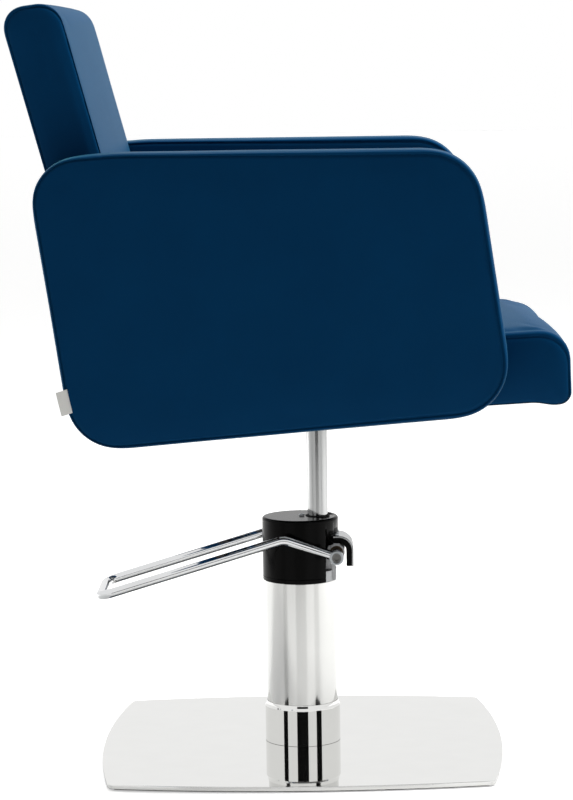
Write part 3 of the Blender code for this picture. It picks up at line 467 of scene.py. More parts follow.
class Finishes:
    """Every finish of the chair, made once."""

    def __init__(self) -> None:
        """Makes the materials."""
        self.leatherette = Leatherette().make()
        self.tape = WovenTape().make()
        self.plywood = Plywood().make()
        # Stainless steel buffed to a mirror: a faint haze is all that the buffing leaves.
        self.mirror = Metal("buffed_stainless", "#E5E5E3", "#E0E0DE", (0.02, 0.05), 18.0).make()
        # Drawn steel tube, polished: long, soft lines along the tube.
        self.drawn = Metal("polished_tube", "#D6D6D4", "#CECECC", (0.05, 0.11), 2.0, Lay.LENGTHWISE).make()
        # Hard chrome ground round and round: fine hoops that widen the highlight a little.
        self.ground = Metal("ground_chrome", "#BDBEBE", "#B3B4B4", (0.08, 0.16), 1.0, Lay.ROUND).make()
        # Chrome plate over a smooth bent rod.
        self.chrome = Metal("chrome_plate", "#E2E3E4", "#D9DADB", (0.03, 0.07), 6.0).make()
        # Sheet steel with a dark satin polish: it shows the white room as a soft grey.
        self.sheet = Metal("satin_sheet", "#B2B3B4", "#A6A7A8", (0.20, 0.28), 3.0).make()
        # Cast aluminium straight from the mould: matt and slightly pitted.
        self.cast = Metal("cast_aluminium", "#B4B5B6", "#9C9D9F", (0.42, 0.60), 1.2, relief=0.00025).make()
        # Zinc plate on steel: a dull, cool shine with a faint bloom.
        self.zinc = Metal("zinc_plate", "#B9BDC0", "#A5A9AC", (0.28, 0.42), 5.0).make()
        # Zinc darkened as painted shade: the bolt's recess reads darker than its rim because shade is painted
        # into it.
        self.recess_shade = Metal("zinc_painted_recess_shade", "#7E7E7C", "#5C5C5A", (0.34, 0.50), 1.5).make()
        # Sintered bronze soaked in oil: matt and porous, dark from the oil and darkened further as painted
        # shade, since its bushes sit in the shade under the hood.
        self.bronze = Metal("sintered_bronze", "#4E4336", "#3E352B", (0.40, 0.55), 0.8, relief=0.0001).make()
        # ABS moulded in a sparked tool: black with a broad, soft sheen.
        self.abs = Moulding("black_abs", "#050505", "#030303", (0.14, 0.19), 0.9, 0.00003, 0.06).make()
        # Nitrile rubber: matt, with a fine mould grain.
        self.rubber = Moulding("nitrile_rubber", "#161617", "#0F0F10", (0.70, 0.80), 1.2, 0.0001, 0.35).make()


def new_piece(
    name: str, work: bmesh.types.BMesh, finish: bpy.types.Material, sharp: float = CRISP_ANGLE
) -> bpy.types.Object:
    """Makes an object from a mesh in work, smooth up to an angle.

    Args:
        name: the piece's name.
        work: its mesh, which is freed.
        finish: its material.
        sharp: the angle in degrees past which an edge stays crisp.

    Returns:
        The object, at the origin of the frame.
    """
    bmesh.ops.recalc_face_normals(work, faces=work.faces)
    mesh = bpy.data.meshes.new(name)
    work.to_mesh(mesh)
    work.free()
    mesh.shade_smooth()
    mesh.set_sharp_from_angle(angle=math.radians(sharp))
    mesh.materials.append(finish)
    piece = bpy.data.objects.new(name, mesh)
    bpy.context.scene.collection.objects.link(piece)
    return piece


def seat_piece(piece: bpy.types.Object, body: Body, slot: Slot, *nodes: str) -> bpy.types.Object:
    """Rides a piece on its body and hides the nodes that it stands for.

    Args:
        piece: the piece.
        body: the body that it moves with.
        slot: the record's material slot; it is not used.
        *nodes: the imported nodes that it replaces.

    Returns:
        The piece.
    """
    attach(piece, body.value)
    if nodes:
        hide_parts(*nodes)
    LOG.info("%s rides on %s and stands for %s", piece.name, body.value, ", ".join(nodes) or "nothing")
    return piece


def settle(piece: bpy.types.Object) -> None:
    """Applies a piece's modifiers to its mesh.

    Args:
        piece: the piece.
    """
    graph = bpy.context.evaluated_depsgraph_get()
    mesh = bpy.data.meshes.new_from_object(piece.evaluated_get(graph))
    piece.modifiers.clear()
    piece.data = mesh


def eased(share: float) -> float:
    """Returns a share from 0 to 1 that starts and ends gently."""
    return share * share * (3 - 2 * share)


def arc(here: Vector, back: Vector, ahead: Vector, radius: float, steps: int) -> list[Vector]:
    """Rounds a corner.

    Args:
        here: the corner.
        back: the unit direction to where the path comes from.
        ahead: the unit direction to where it goes.
        radius: the arc's radius.
        steps: how many segments it has.

    Returns:
        The points of the arc, its ends included.
    """
    half = back.angle(ahead) / 2
    reach = radius / math.tan(half)
    centre = here + (back + ahead).normalized() * (radius / math.sin(half))
    start = (here + back * reach - centre).normalized()
    end = (here + ahead * reach - centre).normalized()
    return [centre + start.slerp(end, k / steps) * radius for k in range(steps + 1)]


def rounded_path(points: Sequence, radii: Sequence[float], steps: int) -> list[Vector]:
    """Rounds the inner corners of an open path.

    Args:
        points: the path's corners, in two or three dimensions.
        radii: a radius for each inner corner, where 0 leaves it sharp.
        steps: how many segments an arc has.

    Returns:
        The rounded path in three dimensions.
    """
    corners = [Vector(point).to_3d() for point in points]
    path = [corners[0]]
    for i, radius in enumerate(radii, 1):
        back = (corners[i - 1] - corners[i]).normalized()
        ahead = (corners[i + 1] - corners[i]).normalized()
        path += arc(corners[i], back, ahead, radius, steps) if radius else [corners[i]]
    return path + [corners[-1]]


def supported(path: list[Vector], gap: float = 0.0006, long: float = 0.0036) -> list[Vector]:
    """Adds a point near each end of a long segment, so that smooth shading leaves its middle straight.

    Args:
        path: the path's points.
        gap: how far from the ends the points lie.
        long: the length past which a segment gets them.

    Returns:
        The path with its new points.
    """
    points = [path[0]]
    for start, end in zip(path, path[1:]):
        length = (end - start).length
        if length > long:
            points += [start.lerp(end, gap / length), start.lerp(end, 1 - gap / length)]
        points.append(end)
    return points


def turned(profile: Sequence, radii: Sequence[float], steps: int = FINE_TURN) -> bmesh.types.BMesh:
    """Turns a profile round the Z axis.

    Args:
        profile: radius and height of each corner, from axis to axis or round to its start.
        radii: how far each inner corner is rounded.
        steps: how many segments the turn has.

    Returns:
        The turned mesh.
    """
    work = bmesh.new()
    path = supported(rounded_path(profile, radii, EDGE_STEPS))
    closed = (path[0] - path[-1]).length < SAME_POINT
    if closed:
        path.pop()
    rings = []
    for point in path:
        if point.x < SAME_POINT:
            rings.append([work.verts.new((0, 0, point.y))] * steps)
            continue
        turn = [2 * math.pi * k / steps for k in range(steps)]
        rings.append([work.verts.new((point.x * math.cos(a), point.x * math.sin(a), point.y)) for a in turn])
    pairs = list(zip(rings, rings[1:]))
    if closed:
        pairs.append((rings[-1], rings[0]))
    for first, second in pairs:
        for k in range(steps):
            n = (k + 1) % steps
            corners = dict.fromkeys([first[k], first[n], second[n], second[k]])
            if len(corners) > 2:
                work.faces.new(list(corners))
    return work


def loft(work: bmesh.types.BMesh, rings: list[list], capped: bool = True) -> None:
    """Joins closed loops of points with faces.

    Args:
        work: the mesh that takes the faces.
        rings: the loops, of equal number and order.
        capped: whether the first and the last loop are closed with a face.
    """
    for first, second in zip(rings, rings[1:]):
        for k in range(len(first)):
            n = (k + 1) % len(first)
            work.faces.new((first[k], first[n], second[n], second[k]))
    if capped:
        work.faces.new(rings[0])
        work.faces.new(rings[-1])


def swept(path: list[Vector], radius: float, sides: int) -> bmesh.types.BMesh:
    """Sweeps a round section along a path, with flat ends.

    Args:
        path: the path's points.
        radius: the section's radius.
        sides: how many sides it has.

    Returns:
        The swept mesh.
    """
    work = bmesh.new()
    heading = (path[1] - path[0]).normalized()
    normal = heading.orthogonal().normalized()
    rings = []
    for i, point in enumerate(path):
        ahead = (path[min(i + 1, len(path) - 1)] - path[max(i - 1, 0)]).normalized()
        normal = heading.rotation_difference(ahead) @ normal
        heading = ahead
        other = heading.cross(normal)
        turn = [2 * math.pi * k / sides for k in range(sides)]
        spots = [point + (normal * math.cos(a) + other * math.sin(a)) * radius for a in turn]
        rings.append([work.verts.new(spot) for spot in spots])
    loft(work, rings)
    return work


def block(low: tuple[float, float, float], high: tuple[float, float, float]) -> bmesh.types.BMesh:
    """Makes a box for cutting.

    Args:
        low: its corner with the least X, Y and Z.
        high: its opposite corner.

    Returns:
        The box.
    """
    work = bmesh.new()
    size = Vector(high) - Vector(low)
    middle = (Vector(high) + Vector(low)) / 2
    bmesh.ops.create_cube(work, size=1, matrix=Matrix.Translation(middle) @ Matrix.Diagonal((*size, 1)))
    return work


def join(piece: bpy.types.Object, others: list[bpy.types.Object], how: Join) -> None:
    """Cuts other objects from a piece or welds them to it, and removes them.

    Args:
        piece: the piece that is changed.
        others: the objects that change it.
        how: whether they cut or weld.
    """
    for other in others:
        step = piece.modifiers.new(how.name.lower(), "BOOLEAN")
        step.operation = how.value
        step.solver = "EXACT"
        step.object = other
    settle(piece)
    for other in others:
        bpy.data.objects.remove(other)


def ease_edges(piece: bpy.types.Object, width: float, segments: int, angle: float) -> None:
    """Rounds a piece's edges.

    Args:
        piece: the piece.
        width: how wide the rounding is.
        segments: how many segments it has.
        angle: the angle in degrees past which an edge is rounded.
    """
    edge = piece.modifiers.new("eased", "BEVEL")
    edge.width = width
    edge.segments = segments
    edge.angle_limit = math.radians(angle)
    settle(piece)


def stand_at(work: bmesh.types.BMesh, x: float) -> bmesh.types.BMesh:
    """Moves a mesh along X and returns it."""
    bmesh.ops.translate(work, verts=work.verts, vec=(x, 0, 0))
    return work


def read_vectors(items: bpy.types.bpy_prop_collection, key: str) -> np.ndarray:
    """Reads one vector from each point of a mesh.

    Args:
        items: the mesh's points or their normals.
        key: the name of the vector.

    Returns:
        The vectors, one in each row.
    """
    values = np.empty(len(items) * 3, np.float32)
    items.foreach_get(key, values)
    return values.reshape(-1, 3)


class SubAssembly(ABC):
    """A group of pieces that is built and dressed together."""

    @abstractmethod
    def build(self, finishes: Finishes) -> None:
        """Builds the group's pieces with the chair's finishes and seats them on their bodies."""


@dataclass
class FloorPlate(SubAssembly):
    """The mirror-bright floor plate with bowed sides."""

    half: float = 0.2545
    bow: float = 0.020
    corner: float = 0.010
    base: float = 0.0015
    thick: float = 0.0055
    edge: float = 0.0008
    bow_steps: int = 40
    corner_steps: int = 8

    def outline(self, shrink: float) -> list[Vector]:
        """Works out the plate's outline.

        Args:
            shrink: how far it is drawn in.

        Returns:
            The outline's points, all the way round.
        """
        half = self.half - shrink
        reach = half - self.bow
        run = [reach * (2 * k / self.bow_steps - 1) for k in range(self.bow_steps + 1)]
        bowed = [Vector((half - self.bow * (t / reach) ** 2, t)) for t in run]
        points = []
        for quarter in range(4):
            turn = Matrix.Rotation(quarter * math.pi / 2, 2)
            following = Matrix.Rotation((quarter + 1) * math.pi / 2, 2)
            side = [(turn @ point).to_3d() for point in bowed]
            back = (side[-2] - side[-1]).normalized()
            ahead = ((following @ bowed[1]).to_3d() - side[-1]).normalized()
            # The last two points at each end of a side give way to the corner's arc.
            points += side[2:-2]
            points += arc(side[-1], back, ahead, self.corner - shrink, self.corner_steps)
        return points

    def build(self, finishes: Finishes) -> None:
        """Builds the plate with its edge eased and a flat, undisturbed top.

        Args:
            finishes: the chair's finishes.
        """
        top = self.base + self.thick
        turn = [k * math.pi / 2 / EDGE_STEPS for k in range(EDGE_STEPS + 1)]
        levels = [(self.edge * (1 - math.sin(a)), self.base + self.edge * (1 - math.cos(a))) for a in turn]
        levels += [(self.edge * (1 - math.cos(a)), top - self.edge * (1 - math.sin(a))) for a in turn]
        levels = [(2 * self.edge, self.base), *levels, (2 * self.edge, top)]
        work = bmesh.new()
        rings = [[work.verts.new((p.x, p.y, z)) for p in self.outline(shrink)] for shrink, z in levels]
        loft(work, rings)
        plate = new_piece("plate_polished", work, finishes.mirror)
        seat_piece(plate, Body.BASE, Slot.POLISHED, "base_plate")


@dataclass
class Column(SubAssembly):
    """The column tube, the collar at its foot and the piston rod."""

    radius: float = 0.045
    wall: float = 0.0013
    foot: float = 0.0073
    top: float = 0.2158
    edge: float = 0.0004
    collar_gap: float = 0.0003
    collar_wall: float = 0.0027
    collar_height: float = 0.0455
    collar_flare: float = 0.0065
    collar_lip: float = 0.0007
    collar_bend: tuple[float, float] = (0.42, 0.35)
    collar_edges: tuple[float, ...] = (0.0004, 0.003, 0.0002, 0.0, 0.0)
    rod_radius: float = 0.013
    rod_edges: tuple[float, float] = (0.0008, 0.0016)

    def build(self, finishes: Finishes) -> None:
        """Builds the tube, the collar and the rod.

        Args:
            finishes: the chair's finishes.
        """
        inner = self.radius - self.wall
        tube = [(self.radius, self.foot), (self.radius, self.top), (inner, self.top), (inner, self.foot)]
        work = turned([*tube, tube[0]], [self.edge] * 3)
        seat_piece(new_piece("column_tube", work, finishes.drawn), Body.BASE, Slot.SATIN, "column_sleeve")
        inside = self.radius + self.collar_gap
        outside = inside + self.collar_wall
        shoulder = self.foot + self.collar_height
        lip = (inside + self.collar_lip, shoulder + self.collar_flare)
        in_share, up_share = self.collar_bend
        bend = (inside + self.collar_wall * in_share, shoulder + self.collar_flare * up_share)
        ring = [(outside, self.foot), (outside, shoulder), bend, lip, (inside, lip[1]), (inside, self.foot)]
        work = turned([*ring, ring[0]], self.collar_edges)
        collar = new_piece("collar_polished", work, finishes.mirror)
        seat_piece(collar, Body.BASE, Slot.POLISHED, "foot_collar")
        low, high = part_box("piston_rod")
        rod = [(0, low.z), (self.rod_radius, low.z), (self.rod_radius, high.z), (0, high.z)]
        work = stand_at(turned(rod, self.rod_edges, MIDDLE_TURN), ROD_X)
        seat_piece(new_piece("rod_ground", work, finishes.ground), Body.SEAT, Slot.GROUND, "piston_rod")


@dataclass
class PumpHead(SubAssembly):
    """The black cap with its front window, the wiper, the cap screw and the bent hood."""

    radius: float = 0.0485
    wall: float = 0.0025
    base: float = 0.2161
    top: float = 0.2971
    bead: float = 0.0055
    bead_depth: float = 0.0004
    bead_half: float = 0.0006
    bead_floor: float = 0.0002
    cap_edges: tuple[float, ...] = (0.003, 0.0, 0.0, 0.0, 0.0, 0.001, 0.0006, 0.001)
    rod_way: float = 0.0155
    wiper_outer: float = 0.0152
    wiper_inner: float = 0.0134
    wiper_lip: float = 0.0012
    wiper_edges: tuple[float, ...] = (0.0008, 0.0004, 0.0)
    screw_x: float = 0.0022
    screw_gap: float = 0.0003
    screw_head: float = 0.0036
    screw_height: float = 0.002
    screw_edges: tuple[float, ...] = (0.0, 0.0002, 0.001, 0.0001)
    socket_radius: float = 0.0014
    socket_floor: float = 0.0008
    window_half: float = 0.0360
    window_rise: float = 0.0109
    high_half: float = 0.0239
    high_rise: float = 0.0245
    hood_half: float = 0.0235
    hood_rise: float = 0.020
    hood_reach: float = 0.0205
    hood_drop: float = 0.0375
    hood_thick: float = 0.0025
    hood_radius: float = 0.0175
    hood_steps: int = 14
    bar_edge: float = 0.0006
    bar_segments: int = 2
    bar_angle: float = 50.0
    shade_strip_width: float = 0.0026
    shade_strip_depth: float = 0.0068
    web: tuple[tuple[float, float], ...] = (
        (0.0300, 0.2298), (0.0388, 0.2298), (0.0388, 0.2620), (0.0360, 0.2620), (0.0300, 0.2480),
    )
    web_inner: float = 0.0146
    web_outer: float = 0.0194
    web_edge: float = 0.0010
    web_segments: int = 3
    web_angle: float = 30.0

    def build(self, finishes: Finishes) -> None:
        """Builds the cap and what is fitted to it.

        Args:
            finishes: the chair's finishes.
        """
        self.build_cap(finishes)
        self.build_fittings(finishes)
        self.build_hood(finishes)
        self.build_webs(finishes)

    def build_cap(self, finishes: Finishes) -> None:
        """Builds the cap as a turned shell with its window and the way for the rod cut out.

        Args:
            finishes: the chair's finishes.
        """
        inner = self.radius - self.wall
        groove = self.radius - self.bead_depth
        bead = self.base + self.bead
        profile = [
            (0, self.top), (self.radius, self.top), (self.radius, bead + self.bead_half),
            (groove, bead + self.bead_floor), (groove, bead - self.bead_floor),
            (self.radius, bead - self.bead_half), (self.radius, self.base), (inner, self.base),
            (inner, self.top - self.wall), (0, self.top - self.wall),
        ]
        cap = new_piece("cap_moulded", turned(profile, self.cap_edges), finishes.abs)
        cutters = []
        for half, rise in ((self.window_half, self.window_rise), (self.high_half, self.high_rise)):
            low = (ROD_X, -half, self.base - CUT_MARGIN)
            high = (self.radius + CUT_MARGIN, half, PIVOT_Z + rise)
            cutters.append(new_piece("window", block(low, high), finishes.abs))
        above, below = self.top + CUT_MARGIN, self.top - CUT_MARGIN
        way = [(0, above), (self.rod_way, above), (self.rod_way, below), (0, below)]
        hole = stand_at(turned(way, [0, 0], MIDDLE_TURN), ROD_X)
        cutters.append(new_piece("rod_way", hole, finishes.abs))
        join(cap, cutters, Join.CUT)
        seat_piece(cap, Body.BASE, Slot.PLASTIC, "head_cap")

    def build_fittings(self, finishes: Finishes) -> None:
        """Builds the rod's wiper and the screw in the cap's top.

        Args:
            finishes: the chair's finishes.
        """
        inner, outer = self.wiper_inner, self.wiper_outer
        low, lip = self.top - self.wall, self.top + self.wiper_lip
        ring = [(outer, low), (outer, lip), (inner, lip), (inner, low)]
        work = stand_at(turned([*ring, ring[0]], self.wiper_edges, MIDDLE_TURN), ROD_X)
        seat_piece(new_piece("wiper_ring", work, finishes.rubber), Body.BASE, Slot.RUBBER, "rod_wiper")
        base = self.top + self.screw_gap
        floor, crown = base + self.socket_floor, base + self.screw_height
        head = [(0, floor), (self.socket_radius, floor), (self.socket_radius, crown)]
        head += [(self.screw_head, crown), (self.screw_head, base), (0, base)]
        work = stand_at(turned(head, self.screw_edges, TINY_TURN), self.screw_x)
        seat_piece(new_piece("cap_screw_head", work, finishes.zinc), Body.BASE, Slot.ZINC, "cap_screw")

    def build_hood(self, finishes: Finishes) -> None:
        """Builds the strap that is bent over the lever's shaft, and black strips along its edges as painted
        shade.

        Args:
            finishes: the chair's finishes.
        """
        level = PIVOT_Z + self.hood_rise
        front = PIVOT_X + self.hood_reach
        low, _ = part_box("lever_hood")
        line = [(low.x, level), (front, level), (front, level - self.hood_drop)]
        path = rounded_path(line, [self.hood_radius], self.hood_steps)
        half = self.hood_thick / 2
        across = (-self.hood_half, self.hood_half)
        strap = self.bent_bar("hood_strap", path, across, (-half, half), finishes.sheet)
        seat_piece(strap, Body.BASE, Slot.SATIN, "lever_hood")
        # The black strips are painted shade: dark pieces that stand for the shade under the hood.
        for side in Side:
            ends = sorted(side.value * (self.hood_half - inset) for inset in (0.0, self.shade_strip_width))
            reach = (-half - self.shade_strip_depth, -half)
            shade_strip = self.bent_bar(f"hood_shade_strip_{side.name.lower()}", path, tuple(ends), reach, finishes.abs)
            seat_piece(shade_strip, Body.BASE, Slot.PLASTIC)

    def bent_bar(
        self, name: str, path: list[Vector], across: tuple[float, float], offset: tuple[float, float],
        finish: bpy.types.Material,
    ) -> bpy.types.Object:
        """Bends a flat bar along a path in the middle plane and eases its edges.

        Args:
            name: the piece's name.
            path: the bend line, as X and Z.
            across: the bar's two sides, as Y.
            offset: its inner and outer face, as distances out from the path.
            finish: its material.

        Returns:
            The bar.
        """
        work = bmesh.new()
        rings = []
        for i, point in enumerate(path):
            ahead = (path[min(i + 1, len(path) - 1)] - path[max(i - 1, 0)]).normalized()
            out = Vector((-ahead.y, ahead.x, 0))
            ring = []
            for face, side in ((1, 0), (1, 1), (0, 1), (0, 0)):
                spot = point + out * offset[face]
                ring.append(work.verts.new((spot.x, across[side], spot.y)))
            rings.append(ring)
        loft(work, rings)
        bar = new_piece(name, work, finish)
        ease_edges(bar, self.bar_edge, self.bar_segments, self.bar_angle)
        return bar

    def build_webs(self, finishes: Finishes) -> None:
        """Builds the cast web that stiffens each lug from behind.

        Args:
            finishes: the chair's finishes.
        """
        for side in Side:
            work = bmesh.new()
            faces = []
            for across in (self.web_inner, self.web_outer):
                faces.append([work.verts.new((x, side.value * across, z)) for x, z in self.web])
            loft(work, faces)
            web = new_piece(f"lug_web_{side.name.lower()}", work, finishes.cast)
            ease_edges(web, self.web_edge, self.web_segments, self.web_angle)
            seat_piece(web, Body.BASE, Slot.CAST)


@dataclass
class FootLever(SubAssembly):
    """The bent foot lever, with an eye and a socket-head bolt at each end of its shaft."""

    leg_y: float = 0.056
    radius: float = 0.006
    sides: int = 28
    bend: tuple[float, float] = (-0.066, 0.0225)
    pedal: tuple[float, float] = (-0.299, -0.047)
    bend_radius: float = 0.022
    pedal_radius: float = 0.016
    bend_steps: int = 12
    eye_radius: float = 0.0095
    eye_edge: float = 0.0012
    head_radius: float = 0.009
    head_height: float = 0.004
    head_edges: tuple[float, ...] = (0.0003, 0.0010, 0.0003, 0.0004)
    dish_radius: float = 0.0068
    dish_depth: float = 0.0011
    socket_radius: float = 0.0038
    socket_depth: float = 0.0018
    socket_sides: int = 6
    gap: float = 0.0003

    def build(self, finishes: Finishes) -> None:
        """Builds the lever and its bolts.

        Args:
            finishes: the chair's finishes.
        """
        right = [(0.0, 0.0), self.bend, self.pedal]
        points = [(x, -self.leg_y, z) for x, z in right] + [(x, self.leg_y, z) for x, z in reversed(right)]
        radii = [self.bend_radius, self.pedal_radius, self.pedal_radius, self.bend_radius]
        line = supported(rounded_path(points, radii, self.bend_steps))
        path = [point + Vector((PIVOT_X, 0, PIVOT_Z)) for point in line]
        lever = new_piece("lever_bent", swept(path, self.radius, self.sides), finishes.chrome)
        low, high, rim = -self.radius, self.radius, self.eye_radius
        eyes = []
        for side in Side:
            work = turned([(0, low), (rim, low), (rim, high), (0, high)], [self.eye_edge] * 2, SMALL_TURN)
            self.turn_out(work, side, self.leg_y)
            eyes.append(new_piece(f"eye_{side.name}", work, finishes.chrome))
        join(lever, eyes, Join.WELD)
        seat_piece(lever, Body.PEDAL, Slot.GROUND, "pedal_lever")
        for side in Side:
            self.build_bolt(side, finishes)

    def turn_out(self, work: bmesh.types.BMesh, side: Side, distance: float) -> None:
        """Turns a mesh's Z axis out to one side and sets it on the shaft's line.

        Args:
            work: the mesh.
            side: the side that it faces.
            distance: how far out it sits.
        """
        turn = Matrix.Rotation(-side.value * math.pi / 2, 4, "X")
        spot = Matrix.Translation((PIVOT_X, side.value * distance, PIVOT_Z))
        bmesh.ops.transform(work, matrix=spot @ turn, verts=work.verts)

    def build_bolt(self, side: Side, finishes: Finishes) -> None:
        """Builds the bolt head with its hexagon socket at one end of the shaft.

        The faces of its recess get a darker zinc, which is painted shade.

        Args:
            side: the end of the shaft.
            finishes: the chair's finishes.
        """
        floor = self.head_height - self.dish_depth
        rim, top, dish = self.head_radius, self.head_height, self.dish_radius
        head = [(0, 0), (rim, 0), (rim, top), (dish, top), (dish - self.dish_depth, floor), (0, floor)]
        work = turned(head, self.head_edges, SMALL_TURN)
        root, above = floor - self.socket_depth, self.head_height * 2
        socket = [(0, root), (self.socket_radius, root), (self.socket_radius, above), (0, above)]
        hexagon = turned(socket, [0, 0], self.socket_sides)
        bolt = new_piece(f"lever_bolt_{side.name.lower()}", work, finishes.zinc)
        join(bolt, [new_piece("socket", hexagon, finishes.zinc)], Join.CUT)
        # The second material paints shade into the recess: a darker zinc on the faces below the rim.
        bolt.data.materials.append(finishes.recess_shade)
        work = bmesh.new()
        work.from_mesh(bolt.data)
        for face in work.faces:
            spot = face.calc_center_median()
            sunk = 0 < spot.z < self.head_height - self.dish_depth / 2
            if sunk and math.hypot(spot.x, spot.y) < self.dish_radius:
                face.material_index = 1
        self.turn_out(work, side, self.leg_y + self.radius + self.gap)
        work.to_mesh(bolt.data)
        work.free()
        seat_piece(bolt, Body.PEDAL, Slot.ZINC, f"pivot_bolt_{side.name.lower()}")


@dataclass
class ReturnSpring(SubAssembly):
    """The coil that lifts the plunger: its foot stands in the pump's well and its top under the plunger."""

    wire: float = 0.0006
    turns: int = 5
    turn_steps: int = 28
    sides: int = 10

    def build(self, finishes: Finishes) -> None:
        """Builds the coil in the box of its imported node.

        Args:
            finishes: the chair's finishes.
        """
        low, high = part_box("plunger_spring")
        middle = (low + high) / 2
        radius = (high.y - low.y) / 2 - self.wire
        foot, top = low.z + self.wire, high.z - self.wire
        count = self.turns * self.turn_steps
        path = []
        for k in range(count + 1):
            angle = 2 * math.pi * k / self.turn_steps
            height = foot + (top - foot) * k / count
            x, y = middle.x + radius * math.cos(angle), middle.y + radius * math.sin(angle)
            path.append(Vector((x, y, height)))
        spring = new_piece("return_spring", swept(path, self.wire, self.sides), finishes.zinc)
        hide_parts("plunger_spring")
        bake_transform(spring)
        LOG.info("%s bends from the base to the plunger", spring.name)


@dataclass(frozen=True)
class Ring:
    """One loop of an upholstered block.

    It has a place across, a distance that it is drawn in, and shares of the crown and of the dome. It may be
    a seam.
    """

    across: float
    shrink: float
    share: float = 0.0
    dome: float = 0.0
    seam: bool = False


class UpholsteredBlock(SubAssembly):
    """A foam block in a sewn cover: two side panels and a band that runs round their edge."""

    arc_steps: int = 6
    side_steps: tuple[int, int, int, int] = (60, 10, 60, 10)
    start: int = 1
    least_radius: float = 0.003
    pressure: float = 4.0
    swell: float = 0.004
    seam_depth: float = 0.0013
    waver: float = 0.00025
    waver_mm: float = 90.0
    fill_steps: int = 20
    seam_shape: tuple[tuple[int, float], ...] = ((0, 1.0), (-1, 0.25), (1, 0.25), (-2, -0.15), (2, -0.15))
    crease: float = 0.8

    @abstractmethod
    def corners(self, ring: Ring) -> list[tuple[float, float]]:
        """Returns the four corners of the side outline at a ring, before it is drawn in."""

    @abstractmethod
    def radii(self, ring: Ring) -> tuple[float, float, float, float]:
        """Returns the radius of each corner of the side outline at a ring."""

    @abstractmethod
    def rings(self) -> list[Ring]:
        """Returns the loops from one side panel's middle to the other's."""

    @abstractmethod
    def place(self) -> Matrix:
        """Returns the block's place in the frame."""

    def held(self, points: np.ndarray) -> np.ndarray:
        """Returns which points the frame holds, apart from the seams: none unless a block says so."""
        return np.zeros(len(points), bool)

    def outline(self, ring: Ring) -> list[Vector]:
        """Works out the side outline of one ring, from the middle of its starting side.

        Args:
            ring: the loop.

        Returns:
            Points of equal number and order for every ring.
        """
        corners = [Vector(corner).to_3d() for corner in self.corners(ring)]
        moved = []
        for i, here in enumerate(corners):
            back = (corners[i - 1] - here).normalized()
            ahead = (corners[(i + 1) % 4] - here).normalized()
            reach = ring.shrink / math.sin(back.angle(ahead) / 2)
            moved.append(here + (back + ahead).normalized() * reach)
        arcs = []
        for i, here in enumerate(moved):
            back = (moved[i - 1] - here).normalized()
            ahead = (moved[(i + 1) % 4] - here).normalized()
            radius = max(self.radii(ring)[i] - ring.shrink, self.least_radius)
            arcs.append(arc(here, back, ahead, radius, self.arc_steps))
        points = []
        first = 0
        for i, bend in enumerate(arcs):
            points += bend
            if i == self.start:
                first = len(points) - 1 + self.side_steps[i] // 2
            target = arcs[(i + 1) % 4][0]
            points += [bend[-1].lerp(target, k / self.side_steps[i]) for k in range(1, self.side_steps[i])]
        return points[first:] + points[:first]

    def sew(self, name: str, finish: bpy.types.Material) -> bpy.types.Object:
        """Makes the cover: lofts its loops, fills it, draws in its seams and smooths it.

        Args:
            name: the piece's name.
            finish: the cover's material.

        Returns:
            The finished cover.
        """
        rings = self.rings()
        work = bmesh.new()
        loops = []
        for ring in rings:
            loops.append([work.verts.new((p.x, ring.across, p.y)) for p in self.outline(ring)])
        count = len(loops[0])
        loft(work, loops, capped=False)
        for loop in (loops[0], loops[-1]):
            for k in range(count // 2):
                corners = dict.fromkeys([loop[k], loop[k + 1], loop[count - k - 1], loop[-k % count]])
                work.faces.new(list(corners))
        cover = new_piece(name, work, finish, ALL_SMOOTH)
        seams = [i for i, ring in enumerate(rings) if ring.seam]
        self.fill(cover, count, seams)
        self.draw_seams(cover, count, seams, len(rings))
        step = cover.modifiers.new("smooth", "SUBSURF")
        step.levels = 1
        step.render_levels = 1
        settle(cover)
        cover.data.transform(self.place())
        return cover

    def fill(self, cover: bpy.types.Object, count: int, seams: list[int]) -> None:
        """Swells the cover over its foam with a short cloth simulation, held at the seams.

        The foam behind the cover lets no point move inward.

        Args:
            cover: the cover.
            count: how many points a loop has.
            seams: the numbers of the seam loops.
        """
        mesh = cover.data
        rest = read_vectors(mesh.vertices, "co")
        held = self.held(rest)
        for seam in seams:
            held[seam * count : (seam + 1) * count] = True
        group = cover.vertex_groups.new(name="sewn")
        group.add([int(i) for i in np.flatnonzero(held)], 1.0, "REPLACE")
        cloth = cover.modifiers.new("foam", "CLOTH")
        cloth.settings.vertex_group_mass = group.name
        cloth.settings.use_pressure = True
        cloth.settings.uniform_pressure_force = self.pressure
        cloth.settings.effector_weights.gravity = 0.0
        scene = bpy.context.scene
        for step in range(1, self.fill_steps + 1):
            scene.frame_set(step)
        swollen = cover.evaluated_get(bpy.context.evaluated_depsgraph_get()).data
        shift = read_vectors(swollen.vertices, "co") - rest
        normals = read_vectors(mesh.vertex_normals, "vector")
        outward = (shift * normals).sum(axis=1, keepdims=True)
        shift -= normals * np.minimum(outward, 0.0)
        length = np.linalg.norm(shift, axis=1, keepdims=True)
        capped = rest + shift * np.minimum(1.0, self.swell / np.maximum(length, NEXT_TO_NOTHING))
        LOG.info("%s swells by up to %.1f mm", cover.name, 1000 * float(np.minimum(length, self.swell).max()))
        cover.modifiers.clear()
        cover.vertex_groups.clear()
        scene.frame_set(1)
        mesh.vertices.foreach_set("co", capped.astype(np.float32).ravel())
        mesh.update()

